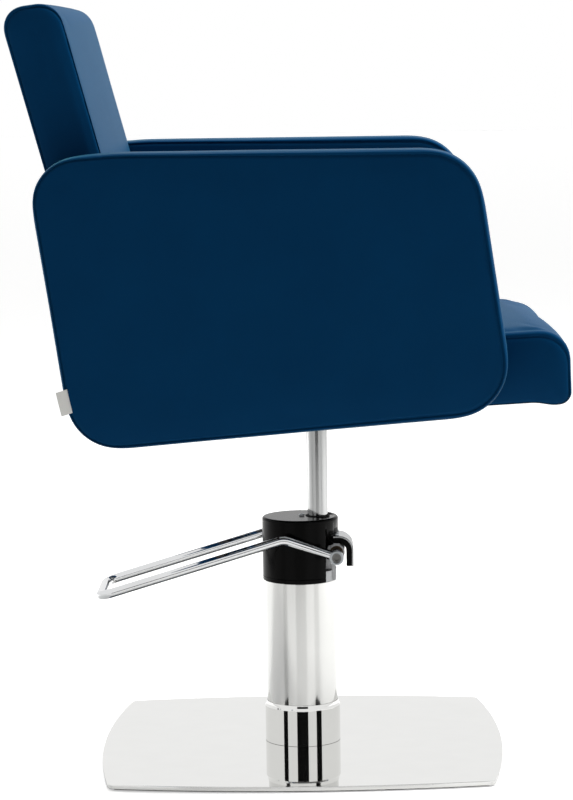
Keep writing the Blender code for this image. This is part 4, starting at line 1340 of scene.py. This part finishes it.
    def draw_seams(self, cover: bpy.types.Object, count: int, seams: list[int], loops: int) -> None:
        """Draws the seams into the foam, and lets the large faces waver a little as stretched covers do.

        Args:
            cover: the cover.
            count: how many points a loop has.
            seams: the numbers of the seam loops.
            loops: how many loops the cover has.
        """
        mesh = cover.data
        depth = np.zeros(len(mesh.vertices))
        for seam in seams:
            for offset, share in self.seam_shape:
                loop = seam + offset
                if 0 <= loop < loops:
                    depth[loop * count : (loop + 1) * count] += self.seam_depth * share
        normals = [vertex.normal.copy() for vertex in mesh.vertices]
        for vertex, normal, sunk in zip(mesh.vertices, normals, depth):
            wave = noise.noise(vertex.co * per_mm(self.waver_mm)) * self.waver
            vertex.co += normal * (wave - sunk)
        crease = mesh.attributes.new("crease_edge", "FLOAT", "EDGE")
        sewn = set(seams)
        for edge in mesh.edges:
            first, second = edge.vertices
            if first // count == second // count and first // count in sewn:
                crease.data[edge.index].value = self.crease
        mesh.update()


# A cushion's side panel: how far in from its outside each loop lies, and how far it is drawn in from the seam
PILLOW = (
    (0.0, 0.034), (0.0002, 0.026), (0.0005, 0.0185), (0.0010, 0.0125), (0.0017, 0.0085), (0.0026, 0.0052),
    (0.0037, 0.0026), (0.0048, 0.0009),
)
# How far in from the panel's outside the seam lies
PILLOW_DEPTH = 0.0060
# The roll of the band next to the seam: the turns of its loops in degrees, and the turn at the seam
ROLL_TURNS = (-24.0, -12.0, 0.0, 14.0, 30.0, 48.0, 68.0, 90.0)
ROLL_START = -35.0
# The loops across the rest of half the band, as distances from the seam
STATIONS = (
    0.0095, 0.014, 0.020, 0.028, 0.038, 0.050, 0.064, 0.080, 0.098, 0.118, 0.140, 0.164, 0.190, 0.212,
)


def crowned_rings(half: float, roll: float, roll_share: float) -> list[Ring]:
    """Lines up the loops of a cushion whose band rolls out over its seams and domes between them.

    Args:
        half: half the cushion's width.
        roll: the radius of the roll across the cushion.
        roll_share: the part of the crown that the roll makes up.

    Returns:
        The loops from the left panel's middle to the right one's.
    """
    seam = half - PILLOW_DEPTH
    near = [Ring(half - draw, shrink) for draw, shrink in PILLOW] + [Ring(seam, 0.0, seam=True)]
    low = math.radians(ROLL_START)
    profile = []
    for degrees in ROLL_TURNS:
        turn = math.radians(degrees)
        rise = (math.sin(turn) - math.sin(low)) / (1 - math.sin(low))
        profile.append((roll * (math.cos(low) - math.cos(turn)), rise))
    profile += [(run, 1.0) for run in STATIONS]
    for run, rise in profile:
        dome = max(1 - ((seam - run) / seam) ** 2, 0.0)
        near.append(Ring(seam - run, 0.0, roll_share * rise + (1 - roll_share) * dome, dome))
    far = [Ring(-ring.across, ring.shrink, ring.share, ring.dome, ring.seam) for ring in reversed(near)]
    return near + [Ring(0.0, 0.0, 1.0, 1.0)] + far


@dataclass
class SeatCushion(UpholsteredBlock):
    """The seat: a thick cushion whose cover runs over the top and down the front, with sewn side panels."""

    rake: float = math.radians(3)
    front: float = 0.3065
    height: float = 0.079
    half: float = CUSHION_HALF
    roll: float = 0.008
    roll_share: float = 0.52
    top_crown: float = 0.0125
    nose_crown: float = 0.0105
    nose_radius: float = 0.034
    nose_round: float = 0.027
    worn_run: float = 1.6
    front_crown: float = 0.005
    tuck: float = 0.002
    puff: float = 0.0045
    puff_x: float = 0.288
    puff_reach: float = 0.027
    back_x: float = -0.2062
    back_rise: float = 0.0265
    back_face: float = 0.03725
    rear_low_radius: float = 0.008
    front_low_radius: float = 0.010
    rear_top_radius: float = 0.010
    held_height: float = 0.012
    held_rear: float = 0.004
    skirt: float = 0.0105
    nose: float = 0.018
    board_top: float = 0.0518
    fit: float = 0.0003

    def rear(self, height: float) -> float:
        """Works out where the seat's rear meets the backrest's front.

        Args:
            height: the height in the raked frame.

        Returns:
            The place along the seat.
        """
        along = Vector((math.cos(self.rake), math.sin(self.rake)))
        rise = Vector((-math.sin(self.rake), math.cos(self.rake)))
        forward = Vector((math.cos(BACK_LEAN), math.sin(BACK_LEAN)))
        root = Vector((self.back_x, self.back_rise))
        return (self.back_face + root.dot(forward) - height * rise.dot(forward)) / along.dot(forward)

    def corners(self, ring: Ring) -> list[tuple[float, float]]:
        """Works out the seat's corners in the raked frame.

        Args:
            ring: the loop.

        Returns:
            The corners: rear bottom, front bottom, front top and rear top.
        """
        top = self.height + ring.share * self.top_crown
        nose = self.height + ring.share * self.nose_crown
        front = self.front + ring.share * self.front_crown
        return [(self.rear(0), 0.0), (front - self.tuck, 0.0), (front, nose), (self.rear(self.height), top)]

    def radii(self, ring: Ring) -> tuple[float, float, float, float]:
        """Works out the corner radii; the nose is worn rounder towards the sitter's left.

        Args:
            ring: the loop.

        Returns:
            The radii: rear bottom, front bottom, front top and rear top.
        """
        worn = min((1 + ring.across / self.half) / self.worn_run, 1.0)
        nose = self.nose_radius + ring.share * self.nose_round * worn
        return self.rear_low_radius, self.front_low_radius, nose, self.rear_top_radius

    def outline(self, ring: Ring) -> list[Vector]:
        """Works out one ring's outline, with the cover puffed down under the nose.

        Args:
            ring: the loop.

        Returns:
            Points of equal number and order for every ring.
        """
        points = super().outline(ring)
        for point in points:
            along = max(1 - abs(point.x - self.puff_x) / self.puff_reach, 0.0)
            low = max(1 - point.y / (2 * self.puff_reach), 0.0)
            point.y -= self.puff * eased(along) * low * low
        return points

    def rings(self) -> list[Ring]:
        """Returns the seat's loops."""
        return crowned_rings(self.half, self.roll, self.roll_share)

    def place(self) -> Matrix:
        """Returns the raked place on the piston rod."""
        return Matrix.Translation((ROD_X, 0, SEAT_Z)) @ Matrix.Rotation(-self.rake, 4, "Y")

    def held(self, points: np.ndarray) -> np.ndarray:
        """Returns the points that the frame holds: the underside and the rear."""
        rear = self.rear(self.height) + self.held_rear
        return (points[:, 2] < self.held_height) | (points[:, 0] < rear)

    def build(self, finishes: Finishes) -> None:
        """Builds the cushion and hollows it for the wooden frame.

        Args:
            finishes: the chair's finishes.
        """
        cushion = self.sew("seat_upholstered", finishes.leatherette)
        rear = self.rear(0) + self.skirt - self.fit
        front = self.front - self.nose + self.fit
        wide = self.half - self.skirt + self.fit
        well = block((rear, -wide, -CUT_MARGIN), (front, wide, self.board_top + self.fit))
        bmesh.ops.transform(well, matrix=self.place(), verts=well.verts)
        join(cushion, [new_piece("frame_well", well, finishes.leatherette)], Join.CUT)
        seat_piece(cushion, Body.SEAT, Slot.UPHOLSTERY, "seat_cushion")


@dataclass
class Backrest(UpholsteredBlock):
    """The leaning backrest: one band over its front, top and rear, with sewn side panels."""

    x: float = -0.1837
    z: float = 0.4781
    thick: float = 0.0675
    height: float = 0.4835
    top_fall: float = 0.0095
    half: float = CUSHION_HALF
    crown: float = 0.005
    front_crown: float = 0.0025
    top_roll: float = 0.0036
    roll: float = 0.008
    roll_share: float = 0.52
    corner_radii: tuple[float, float, float, float] = (0.012, 0.012, 0.028, 0.025)

    def __post_init__(self) -> None:
        """Starts the outline at the bottom, since the block is tall and thin."""
        self.start = 0
        self.side_steps = (10, 60, 10, 60)
        self.swell = 0.0012

    def corners(self, ring: Ring) -> list[tuple[float, float]]:
        """Works out the backrest's corners in its leaning frame.

        Args:
            ring: the loop.

        Returns:
            The corners: rear bottom, front bottom, front top and rear top.
        """
        rear = -self.thick / 2 - ring.share * self.crown
        front = self.thick / 2 + ring.dome * self.front_crown
        top = self.height + min(ring.share / self.roll_share, 1.0) * self.top_roll
        return [(rear, 0.0), (front, 0.0), (front, top - self.top_fall), (rear, top)]

    def radii(self, ring: Ring) -> tuple[float, float, float, float]:
        """Returns the corner radii: rear bottom, front bottom, front top and rear top."""
        return self.corner_radii

    def rings(self) -> list[Ring]:
        """Returns the backrest's loops."""
        return crowned_rings(self.half, self.roll, self.roll_share)

    def place(self) -> Matrix:
        """Returns the leaning place behind the seat."""
        return Matrix.Translation((self.x, 0, self.z)) @ Matrix.Rotation(-BACK_LEAN, 4, "Y")

    def build(self, finishes: Finishes) -> None:
        """Builds the back cushion.

        Args:
            finishes: the chair's finishes.
        """
        cushion = self.sew("back_upholstered", finishes.leatherette)
        seat_piece(cushion, Body.SEAT, Slot.UPHOLSTERY, "back_cushion")


@dataclass
class Arm(UpholsteredBlock):
    """One block arm: two flat panels and a band with rounded edges between them."""

    side: Side = Side.RIGHT
    corner_spots: tuple[tuple[float, float], ...] = (
        (-0.2832, -0.0316), (0.2362, 0.0091), (0.1914, 0.3175), (-0.3338, 0.3178),
    )
    corner_radii: tuple[float, float, float, float] = (0.0605, 0.0625, 0.064, 0.053)
    inner: float = 0.237
    outer: float = 0.291
    crown: float = 0.003
    crown_run: float = 0.03
    face_runs: tuple[float, ...] = (
        0.125, 0.107, 0.089, 0.073, 0.058, 0.045, 0.033, 0.023, 0.015, 0.0095, 0.0058, 0.0036, 0.002,
    )
    band_crown: float = 0.0010
    band_steps: int = 6
    rim: float = 0.0052
    rim_reach: float = 3.0
    rear_rim: float = 0.55
    rear_way: tuple[float, float] = (0.85, 0.25)
    lip: float = 0.0012
    lip_run: float = 0.0025
    edge: tuple[tuple[float, float], ...] = (
        (-0.0006, 0.0043), (-0.0003, 0.0033), (-0.0006, 0.0022), (-0.0017, 0.0012),
        (-0.0033, 0.0005), (-0.0058, 0.0001), (-0.0090, 0.0),
    )
    edge_run: float = 0.010
    shoulder: float = 0.0040
    shoulder_x: float = -0.215
    shoulder_run: float = 0.080
    shoulder_height: float = 0.317

    def __post_init__(self) -> None:
        """Gives the large, round corners more points."""
        self.arc_steps = 10
        self.side_steps = (40, 20, 40, 20)
        self.swell = 0.0010

    def corners(self, ring: Ring) -> list[tuple[float, float]]:
        """Returns the arm's corners, from the low rear one on."""
        return list(self.corner_spots)

    def radii(self, ring: Ring) -> tuple[float, float, float, float]:
        """Returns the corner radii: low rear, low front, high front and high rear."""
        return self.corner_radii

    def outline(self, ring: Ring) -> list[Vector]:
        """Works out one ring's outline, with a narrower rim along the rear and a soft rear shoulder.

        Args:
            ring: the loop.

        Returns:
            Points of equal number and order for every ring.
        """
        points = super().outline(ring)
        if 0 < ring.shrink < self.rim_reach * self.rim:
            narrow = super().outline(Ring(ring.across, ring.shrink * self.rear_rim))
            middle = sum(points, Vector()) / len(points)
            for i, (near, far) in enumerate(zip(points, narrow)):
                out = (near - middle).normalized()
                turn = 0.5 - 0.5 * (out.x * self.rear_way[0] + out.y * self.rear_way[1])
                points[i] = near.lerp(far, eased(turn))
        for point in points:
            if point.y > 0:
                share = min(max((self.shoulder_x - point.x) / self.shoulder_run, 0.0), 1.0)
                high = point.y / self.shoulder_height
                point.y -= self.shoulder * eased(share) * high * high
        return points

    def face(self) -> list[Ring]:
        """Works out the loops of one face, which swells in the middle and dips at the seam.

        Returns:
            The loops from the face's middle to the band, as distances out from the face.
        """
        loops = []
        for run in self.face_runs:
            puff = self.crown * (1 - math.exp(-run / self.crown_run))
            dip = self.lip * math.exp(-run / self.lip_run)
            loops.append(Ring(puff - dip, self.rim + run))
        loops.append(Ring(-self.lip, self.rim, seam=True))
        return loops + [Ring(out, inset) for out, inset in self.edge]

    def rings(self) -> list[Ring]:
        """Works out the arm's loops.

        Returns:
            The loops from its outer face to its inner one.
        """
        way = self.side.value
        face = self.face()
        outside = [Ring(way * (self.outer + ring.across), ring.shrink, seam=ring.seam) for ring in face]
        inside = [Ring(way * (self.inner - ring.across), ring.shrink, seam=ring.seam) for ring in face]
        start = self.outer - self.edge_run
        width = start - self.inner - self.edge_run
        band = []
        for k in range(1, self.band_steps):
            bulge = self.band_crown * math.sin(math.pi * k / self.band_steps)
            band.append(Ring(way * (start - width * k / self.band_steps), -bulge))
        return outside + band + inside[::-1]

    def place(self) -> Matrix:
        """Returns the arm's place beside the seat."""
        return Matrix.Translation((ROD_X, 0, SEAT_Z))

    def build(self, finishes: Finishes) -> None:
        """Builds the arm.

        Args:
            finishes: the chair's finishes.
        """
        word = self.side.name.lower()
        arm = self.sew(f"arm_{word}_upholstered", finishes.leatherette)
        seat_piece(arm, Body.SEAT, Slot.UPHOLSTERY, f"arm_{word}_pad", f"arm_{word}_lining")


@dataclass
class SewnTab(SubAssembly):
    """The plain folded tab that is caught in the rear seam of the right arm and lies over its rim."""

    length: float = 0.0285
    thick: float = 0.0009
    parting: float = 0.00006
    droop: float = 0.10
    hinge: float = 0.004
    curl: float = 0.0012
    curl_reach: float = 0.0098
    fold_share: float = 0.8
    arm_rear: tuple[float, float] = (-0.0506, 0.3486)
    tilt: float = math.radians(4.5)
    path: tuple[tuple[float, float], ...] = (
        (0.0058, -0.0008), (0.0048, -0.0022), (0.0034, -0.0030), (0.0015, -0.0032), (-0.0008, -0.0030),
        (-0.0030, -0.0024), (-0.0052, -0.0018), (-0.0070, -0.0014), (-0.0078, -0.0012), (-0.0082, -0.0012),
    )
    rows: int = 14

    @property
    def lean(self) -> float:
        """The tab's turn from upright: along the arm's rear edge and tilted a little from it."""
        return math.atan2(*self.arm_rear) - self.tilt

    @property
    def flat_length(self) -> float:
        """The length of the tape before it is folded: twice the run from the seam to the fold."""
        steps = zip(self.path, self.path[1:])
        return 2 * sum(math.dist(first, second) for first, second in steps)

    def build(self, finishes: Finishes) -> None:
        """Builds the tab as two plies of tape that meet in a fold at the outer end.

        Args:
            finishes: the chair's finishes.
        """
        low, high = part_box("label_tab")
        spot = (low + high) / 2
        half = self.thick / 2
        plies = self.path[:-1]
        end, end_out = self.path[-1]
        work = bmesh.new()
        rings = []
        for k in range(self.rows + 1):
            share = k / self.rows - 0.5
            ply = [(run, out - half) for run, out in plies]
            fold = [(end - half * self.fold_share, end_out)]
            back = [(run, out + half) for run, out in reversed(plies)]
            lined = [(run, out + self.parting) for run, out in plies]
            tuck = [(end + half, end_out)]
            faced = [(run, out - self.parting) for run, out in reversed(plies)]
            loop = ply + fold + back + lined + tuck + faced
            rings.append([work.verts.new(self.spot_at(run, out, share)) for run, out in loop])
        loft(work, rings)
        turn = Matrix.Translation(spot) @ Matrix.Rotation(self.lean, 4, "Y")
        bmesh.ops.transform(work, matrix=turn, verts=work.verts)
        tab = new_piece("tab_folded", work, finishes.tape)
        seat_piece(tab, Body.SEAT, Slot.TAB, "label_tab")
        self.flat_length

    def spot_at(self, run: float, out: float, share: float) -> tuple[float, float, float]:
        """Returns a point of the tab, which droops a little and curls at its outer corners."""
        curl = self.curl * max(-run, 0.0) / self.curl_reach * (2 * share) ** 2
        return run, out + curl, share * self.length + (run - self.hinge) * self.droop


@dataclass
class CarriedNodes(SubAssembly):
    """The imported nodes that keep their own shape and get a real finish."""

    weld: float = 0.00001

    def build(self, finishes: Finishes) -> None:
        """Gives each node that is still shown its finish and smooth shading.

        Args:
            finishes: the chair's finishes.
        """
        by_slot = {
            Slot.GROUND: finishes.ground, Slot.CAST: finishes.cast, Slot.ZINC: finishes.zinc,
            Slot.BRONZE: finishes.bronze, Slot.RUBBER: finishes.rubber, Slot.PLYWOOD: finishes.plywood,
            Slot.SATIN: finishes.drawn, Slot.POLISHED: finishes.mirror, Slot.PLASTIC: finishes.abs,
            Slot.UPHOLSTERY: finishes.leatherette, Slot.TAB: finishes.tape,
        }
        for subpart in frame["record"]["subparts"]:
            node = frame["nodes"][subpart["node"]]
            node.data.materials.clear()
            node.data.materials.append(by_slot[Slot(subpart["material_slot"])])
            if not node.hide_render:
                self.smooth(node)

    def smooth(self, node: bpy.types.Object) -> None:
        """Shades a node smooth up to a crisp edge, without a change to its mesh.

        Args:
            node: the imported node.
        """
        if "custom_normal" in node.data.attributes:
            node.data.attributes.remove(node.data.attributes["custom_normal"])
        node.data.shade_smooth()
        weld = node.modifiers.new("weld", "WELD")
        weld.merge_threshold = self.weld
        split = node.modifiers.new("crisp", "EDGE_SPLIT")
        split.split_angle = math.radians(CRISP_ANGLE)
        LOG.info("%s keeps its solid", node.name)


@dataclass(frozen=True)
class SoftBox:
    """A soft box: its name, place, width and height, and its power in watts."""

    name: str
    spot: tuple[float, float, float]
    size: tuple[float, float]
    power: float


@dataclass
class Studio:
    """The camera, the white sweep, the soft lights and the dark flags that the metal shows."""

    eye: tuple[float, float, float] = (0.0494, -3.7175, 0.8801)
    pitch: float = math.radians(6.665)
    yaw: float = math.radians(0.994)
    roll: float = math.radians(0.849)
    lens: float = 132.6
    sensor: float = 36.0
    white: str = "#FFFFFF"
    fill: float = 0.34
    floor_colour: str = "#EDEDEC"
    floor_roughness: float = 0.32
    floor_lift: float = 0.42
    floor_half: float = 30.0
    floor_cells: int = 8
    floor_drop: float = 0.0002
    flag_radius: float = 3.0
    flag_colour: str = "#0C0C0C"
    flags: tuple[tuple[float, float, float], ...] = (
        (-60.0, -46.0, 3.0), (-17.0, 17.0, 1.25), (43.0, 60.0, 3.0),
    )
    low_flag: tuple[float, float, float] = (-17.0, 17.0, 0.45)
    past_one_mirror: float = 1.5
    aim: tuple[float, float, float] = (0.0, 0.0, 0.6)
    lights: tuple[SoftBox, ...] = (
        SoftBox("key_light", (2.6, 0.4, 2.7), (1.0, 1.8), 178.0),
        SoftBox("top_light", (0.0, 0.6, 3.2), (1.6, 1.6), 30.0),
        SoftBox("rim_light", (-2.8, 1.6, 1.2), (0.8, 1.8), 100.0),
    )

    def build(self) -> None:
        """Sets up the whole studio."""
        scene = bpy.context.scene
        scene.view_settings.view_transform = "Standard"
        self.build_camera(scene)
        self.build_world(scene)
        self.build_floor()
        self.build_flags()
        for box in self.lights:
            self.add_light(box)

    def build_camera(self, scene: bpy.types.Scene) -> None:
        """Sets the camera at the photograph's place.

        Args:
            scene: the scene that takes it.
        """
        data = bpy.data.cameras.new("camera")
        data.lens = self.lens
        data.sensor_width = self.sensor
        camera = bpy.data.objects.new("camera", data)
        turn = Matrix.Rotation(self.yaw, 4, "Z") @ Matrix.Rotation(math.pi / 2 - self.pitch, 4, "X")
        camera.matrix_world = Matrix.Translation(self.eye) @ turn @ Matrix.Rotation(-self.roll, 4, "Z")
        scene.collection.objects.link(camera)
        scene.camera = camera

    def build_world(self, scene: bpy.types.Scene) -> None:
        """Makes the world white to the eye and to metal, and a plain fill light to the rest.

        Args:
            scene: the scene that takes it.
        """
        world = bpy.data.worlds.new("white_sweep")
        world.use_nodes = True
        tree = world.node_tree
        tree.nodes.clear()
        path = add_node(tree, "ShaderNodeLightPath")
        seen = add_node(
            tree, "ShaderNodeMath",
            {0: path.outputs["Is Camera Ray"], 1: path.outputs["Is Glossy Ray"]}, operation="MAXIMUM",
        )
        seen = add_node(
            tree, "ShaderNodeMath",
            {0: seen.outputs[0], 1: path.outputs["Is Transmission Ray"]}, operation="MAXIMUM",
        )
        white, soft = (
            add_node(tree, "ShaderNodeBackground", {"Color": linear(self.white), "Strength": strength})
            for strength in (1.0, self.fill)
        )
        mixed = add_node(
            tree, "ShaderNodeMixShader", {0: seen.outputs[0], 1: soft.outputs[0], 2: white.outputs[0]}
        )
        add_node(tree, "ShaderNodeOutputWorld", {"Surface": mixed.outputs[0]})
        scene.world = world

    def build_floor(self) -> None:
        """Lays a pale, slightly glossy floor that reads as white and keeps a faint shadow."""
        material, tree, shader = start_material(
            "pale_floor", Roughness=self.floor_roughness, Base_Color=linear(self.floor_colour)
        )
        path = add_node(tree, "ShaderNodeLightPath")
        lift = add_node(
            tree, "ShaderNodeMath",
            {0: path.outputs["Is Camera Ray"], 1: self.floor_lift}, operation="MULTIPLY",
        )
        glow = add_node(
            tree, "ShaderNodeEmission", {"Color": linear(self.white), "Strength": lift.outputs[0]}
        )
        both = add_node(tree, "ShaderNodeAddShader", {0: shader.outputs[0], 1: glow.outputs[0]})
        tree.links.new(both.outputs[0], tree.nodes["Material Output"].inputs["Surface"])
        work = bmesh.new()
        cells = self.floor_cells
        bmesh.ops.create_grid(work, x_segments=cells, y_segments=cells, size=self.floor_half)
        floor = new_piece("floor", work, material)
        floor.location.z = -self.floor_drop

    def build_flags(self) -> None:
        """Stands dark flags on the camera's side, which only reflections see.

        The tall ones give the stripes that the collar and the plate show each other. A ray that has met one
        mirror only passes through them, so that the plate stays bright from every side. The low one gives
        the dark line along the lever.
        """
        matt = {"Roughness": 1.0, "Specular_IOR_Level": 0.0, "Base_Color": linear(self.flag_colour)}
        plain, _, _ = start_material("black_flag", **matt)
        deep, tree, shader = start_material("black_flag_in_depth", **matt)
        path = add_node(tree, "ShaderNodeLightPath")
        twice = add_node(
            tree, "ShaderNodeMath",
            {0: path.outputs["Glossy Depth"], 1: self.past_one_mirror}, operation="GREATER_THAN",
        )
        clear = add_node(tree, "ShaderNodeBsdfTransparent")
        mixed = add_node(
            tree, "ShaderNodeMixShader", {0: twice.outputs[0], 1: clear.outputs[0], 2: shader.outputs[0]}
        )
        tree.links.new(mixed.outputs[0], tree.nodes["Material Output"].inputs["Surface"])
        for number, span in enumerate(self.flags, 1):
            self.stand_flag(f"flag_{number}", span, deep)
        self.stand_flag("flag_low", self.low_flag, plain)

    def stand_flag(self, name: str, span: tuple[float, float, float], material: bpy.types.Material) -> None:
        """Stands one flag on the floor.

        Args:
            name: the flag's name.
            span: its first and last angle round the chair in degrees, and its height.
            material: its finish.
        """
        start, end, top = span
        work = bmesh.new()
        corners = []
        for angle, height in ((start, 0.0), (end, 0.0), (end, top), (start, top)):
            turn = math.radians(angle)
            spot = (self.flag_radius * math.sin(turn), -self.flag_radius * math.cos(turn), height)
            corners.append(work.verts.new(spot))
        work.faces.new(corners)
        flag = new_piece(name, work, material)
        flag.visible_camera = False
        flag.visible_diffuse = False
        flag.visible_shadow = False

    def add_light(self, box: SoftBox) -> None:
        """Adds a soft box that faces the chair.

        Args:
            box: the soft box.
        """
        data = bpy.data.lights.new(box.name, "AREA")
        data.shape = "RECTANGLE"
        data.size, data.size_y = box.size
        data.energy = box.power
        light = bpy.data.objects.new(box.name, data)
        aim = Vector(self.aim) - Vector(box.spot)
        turn = aim.to_track_quat("-Z", "Y").to_matrix().to_4x4()
        light.matrix_world = Matrix.Translation(box.spot) @ turn
        light.visible_camera = False
        light.visible_glossy = False
        bpy.context.scene.collection.objects.link(light)


def main() -> None:
    """Builds the chair's sub-assemblies in order, then the studio."""
    logging.basicConfig(level=logging.INFO, format="%(name)s: %(message)s")
    finishes = Finishes()
    groups = [
        FloorPlate(), Column(), PumpHead(), FootLever(), ReturnSpring(), SeatCushion(), Backrest(),
        Arm(side=Side.RIGHT), Arm(side=Side.LEFT), SewnTab(), CarriedNodes(),
    ]
    for group in groups:
        group.build(finishes)
        LOG.info("%s built", type(group).__name__)
    Studio().build()


if __name__ == "__main__":
    main()
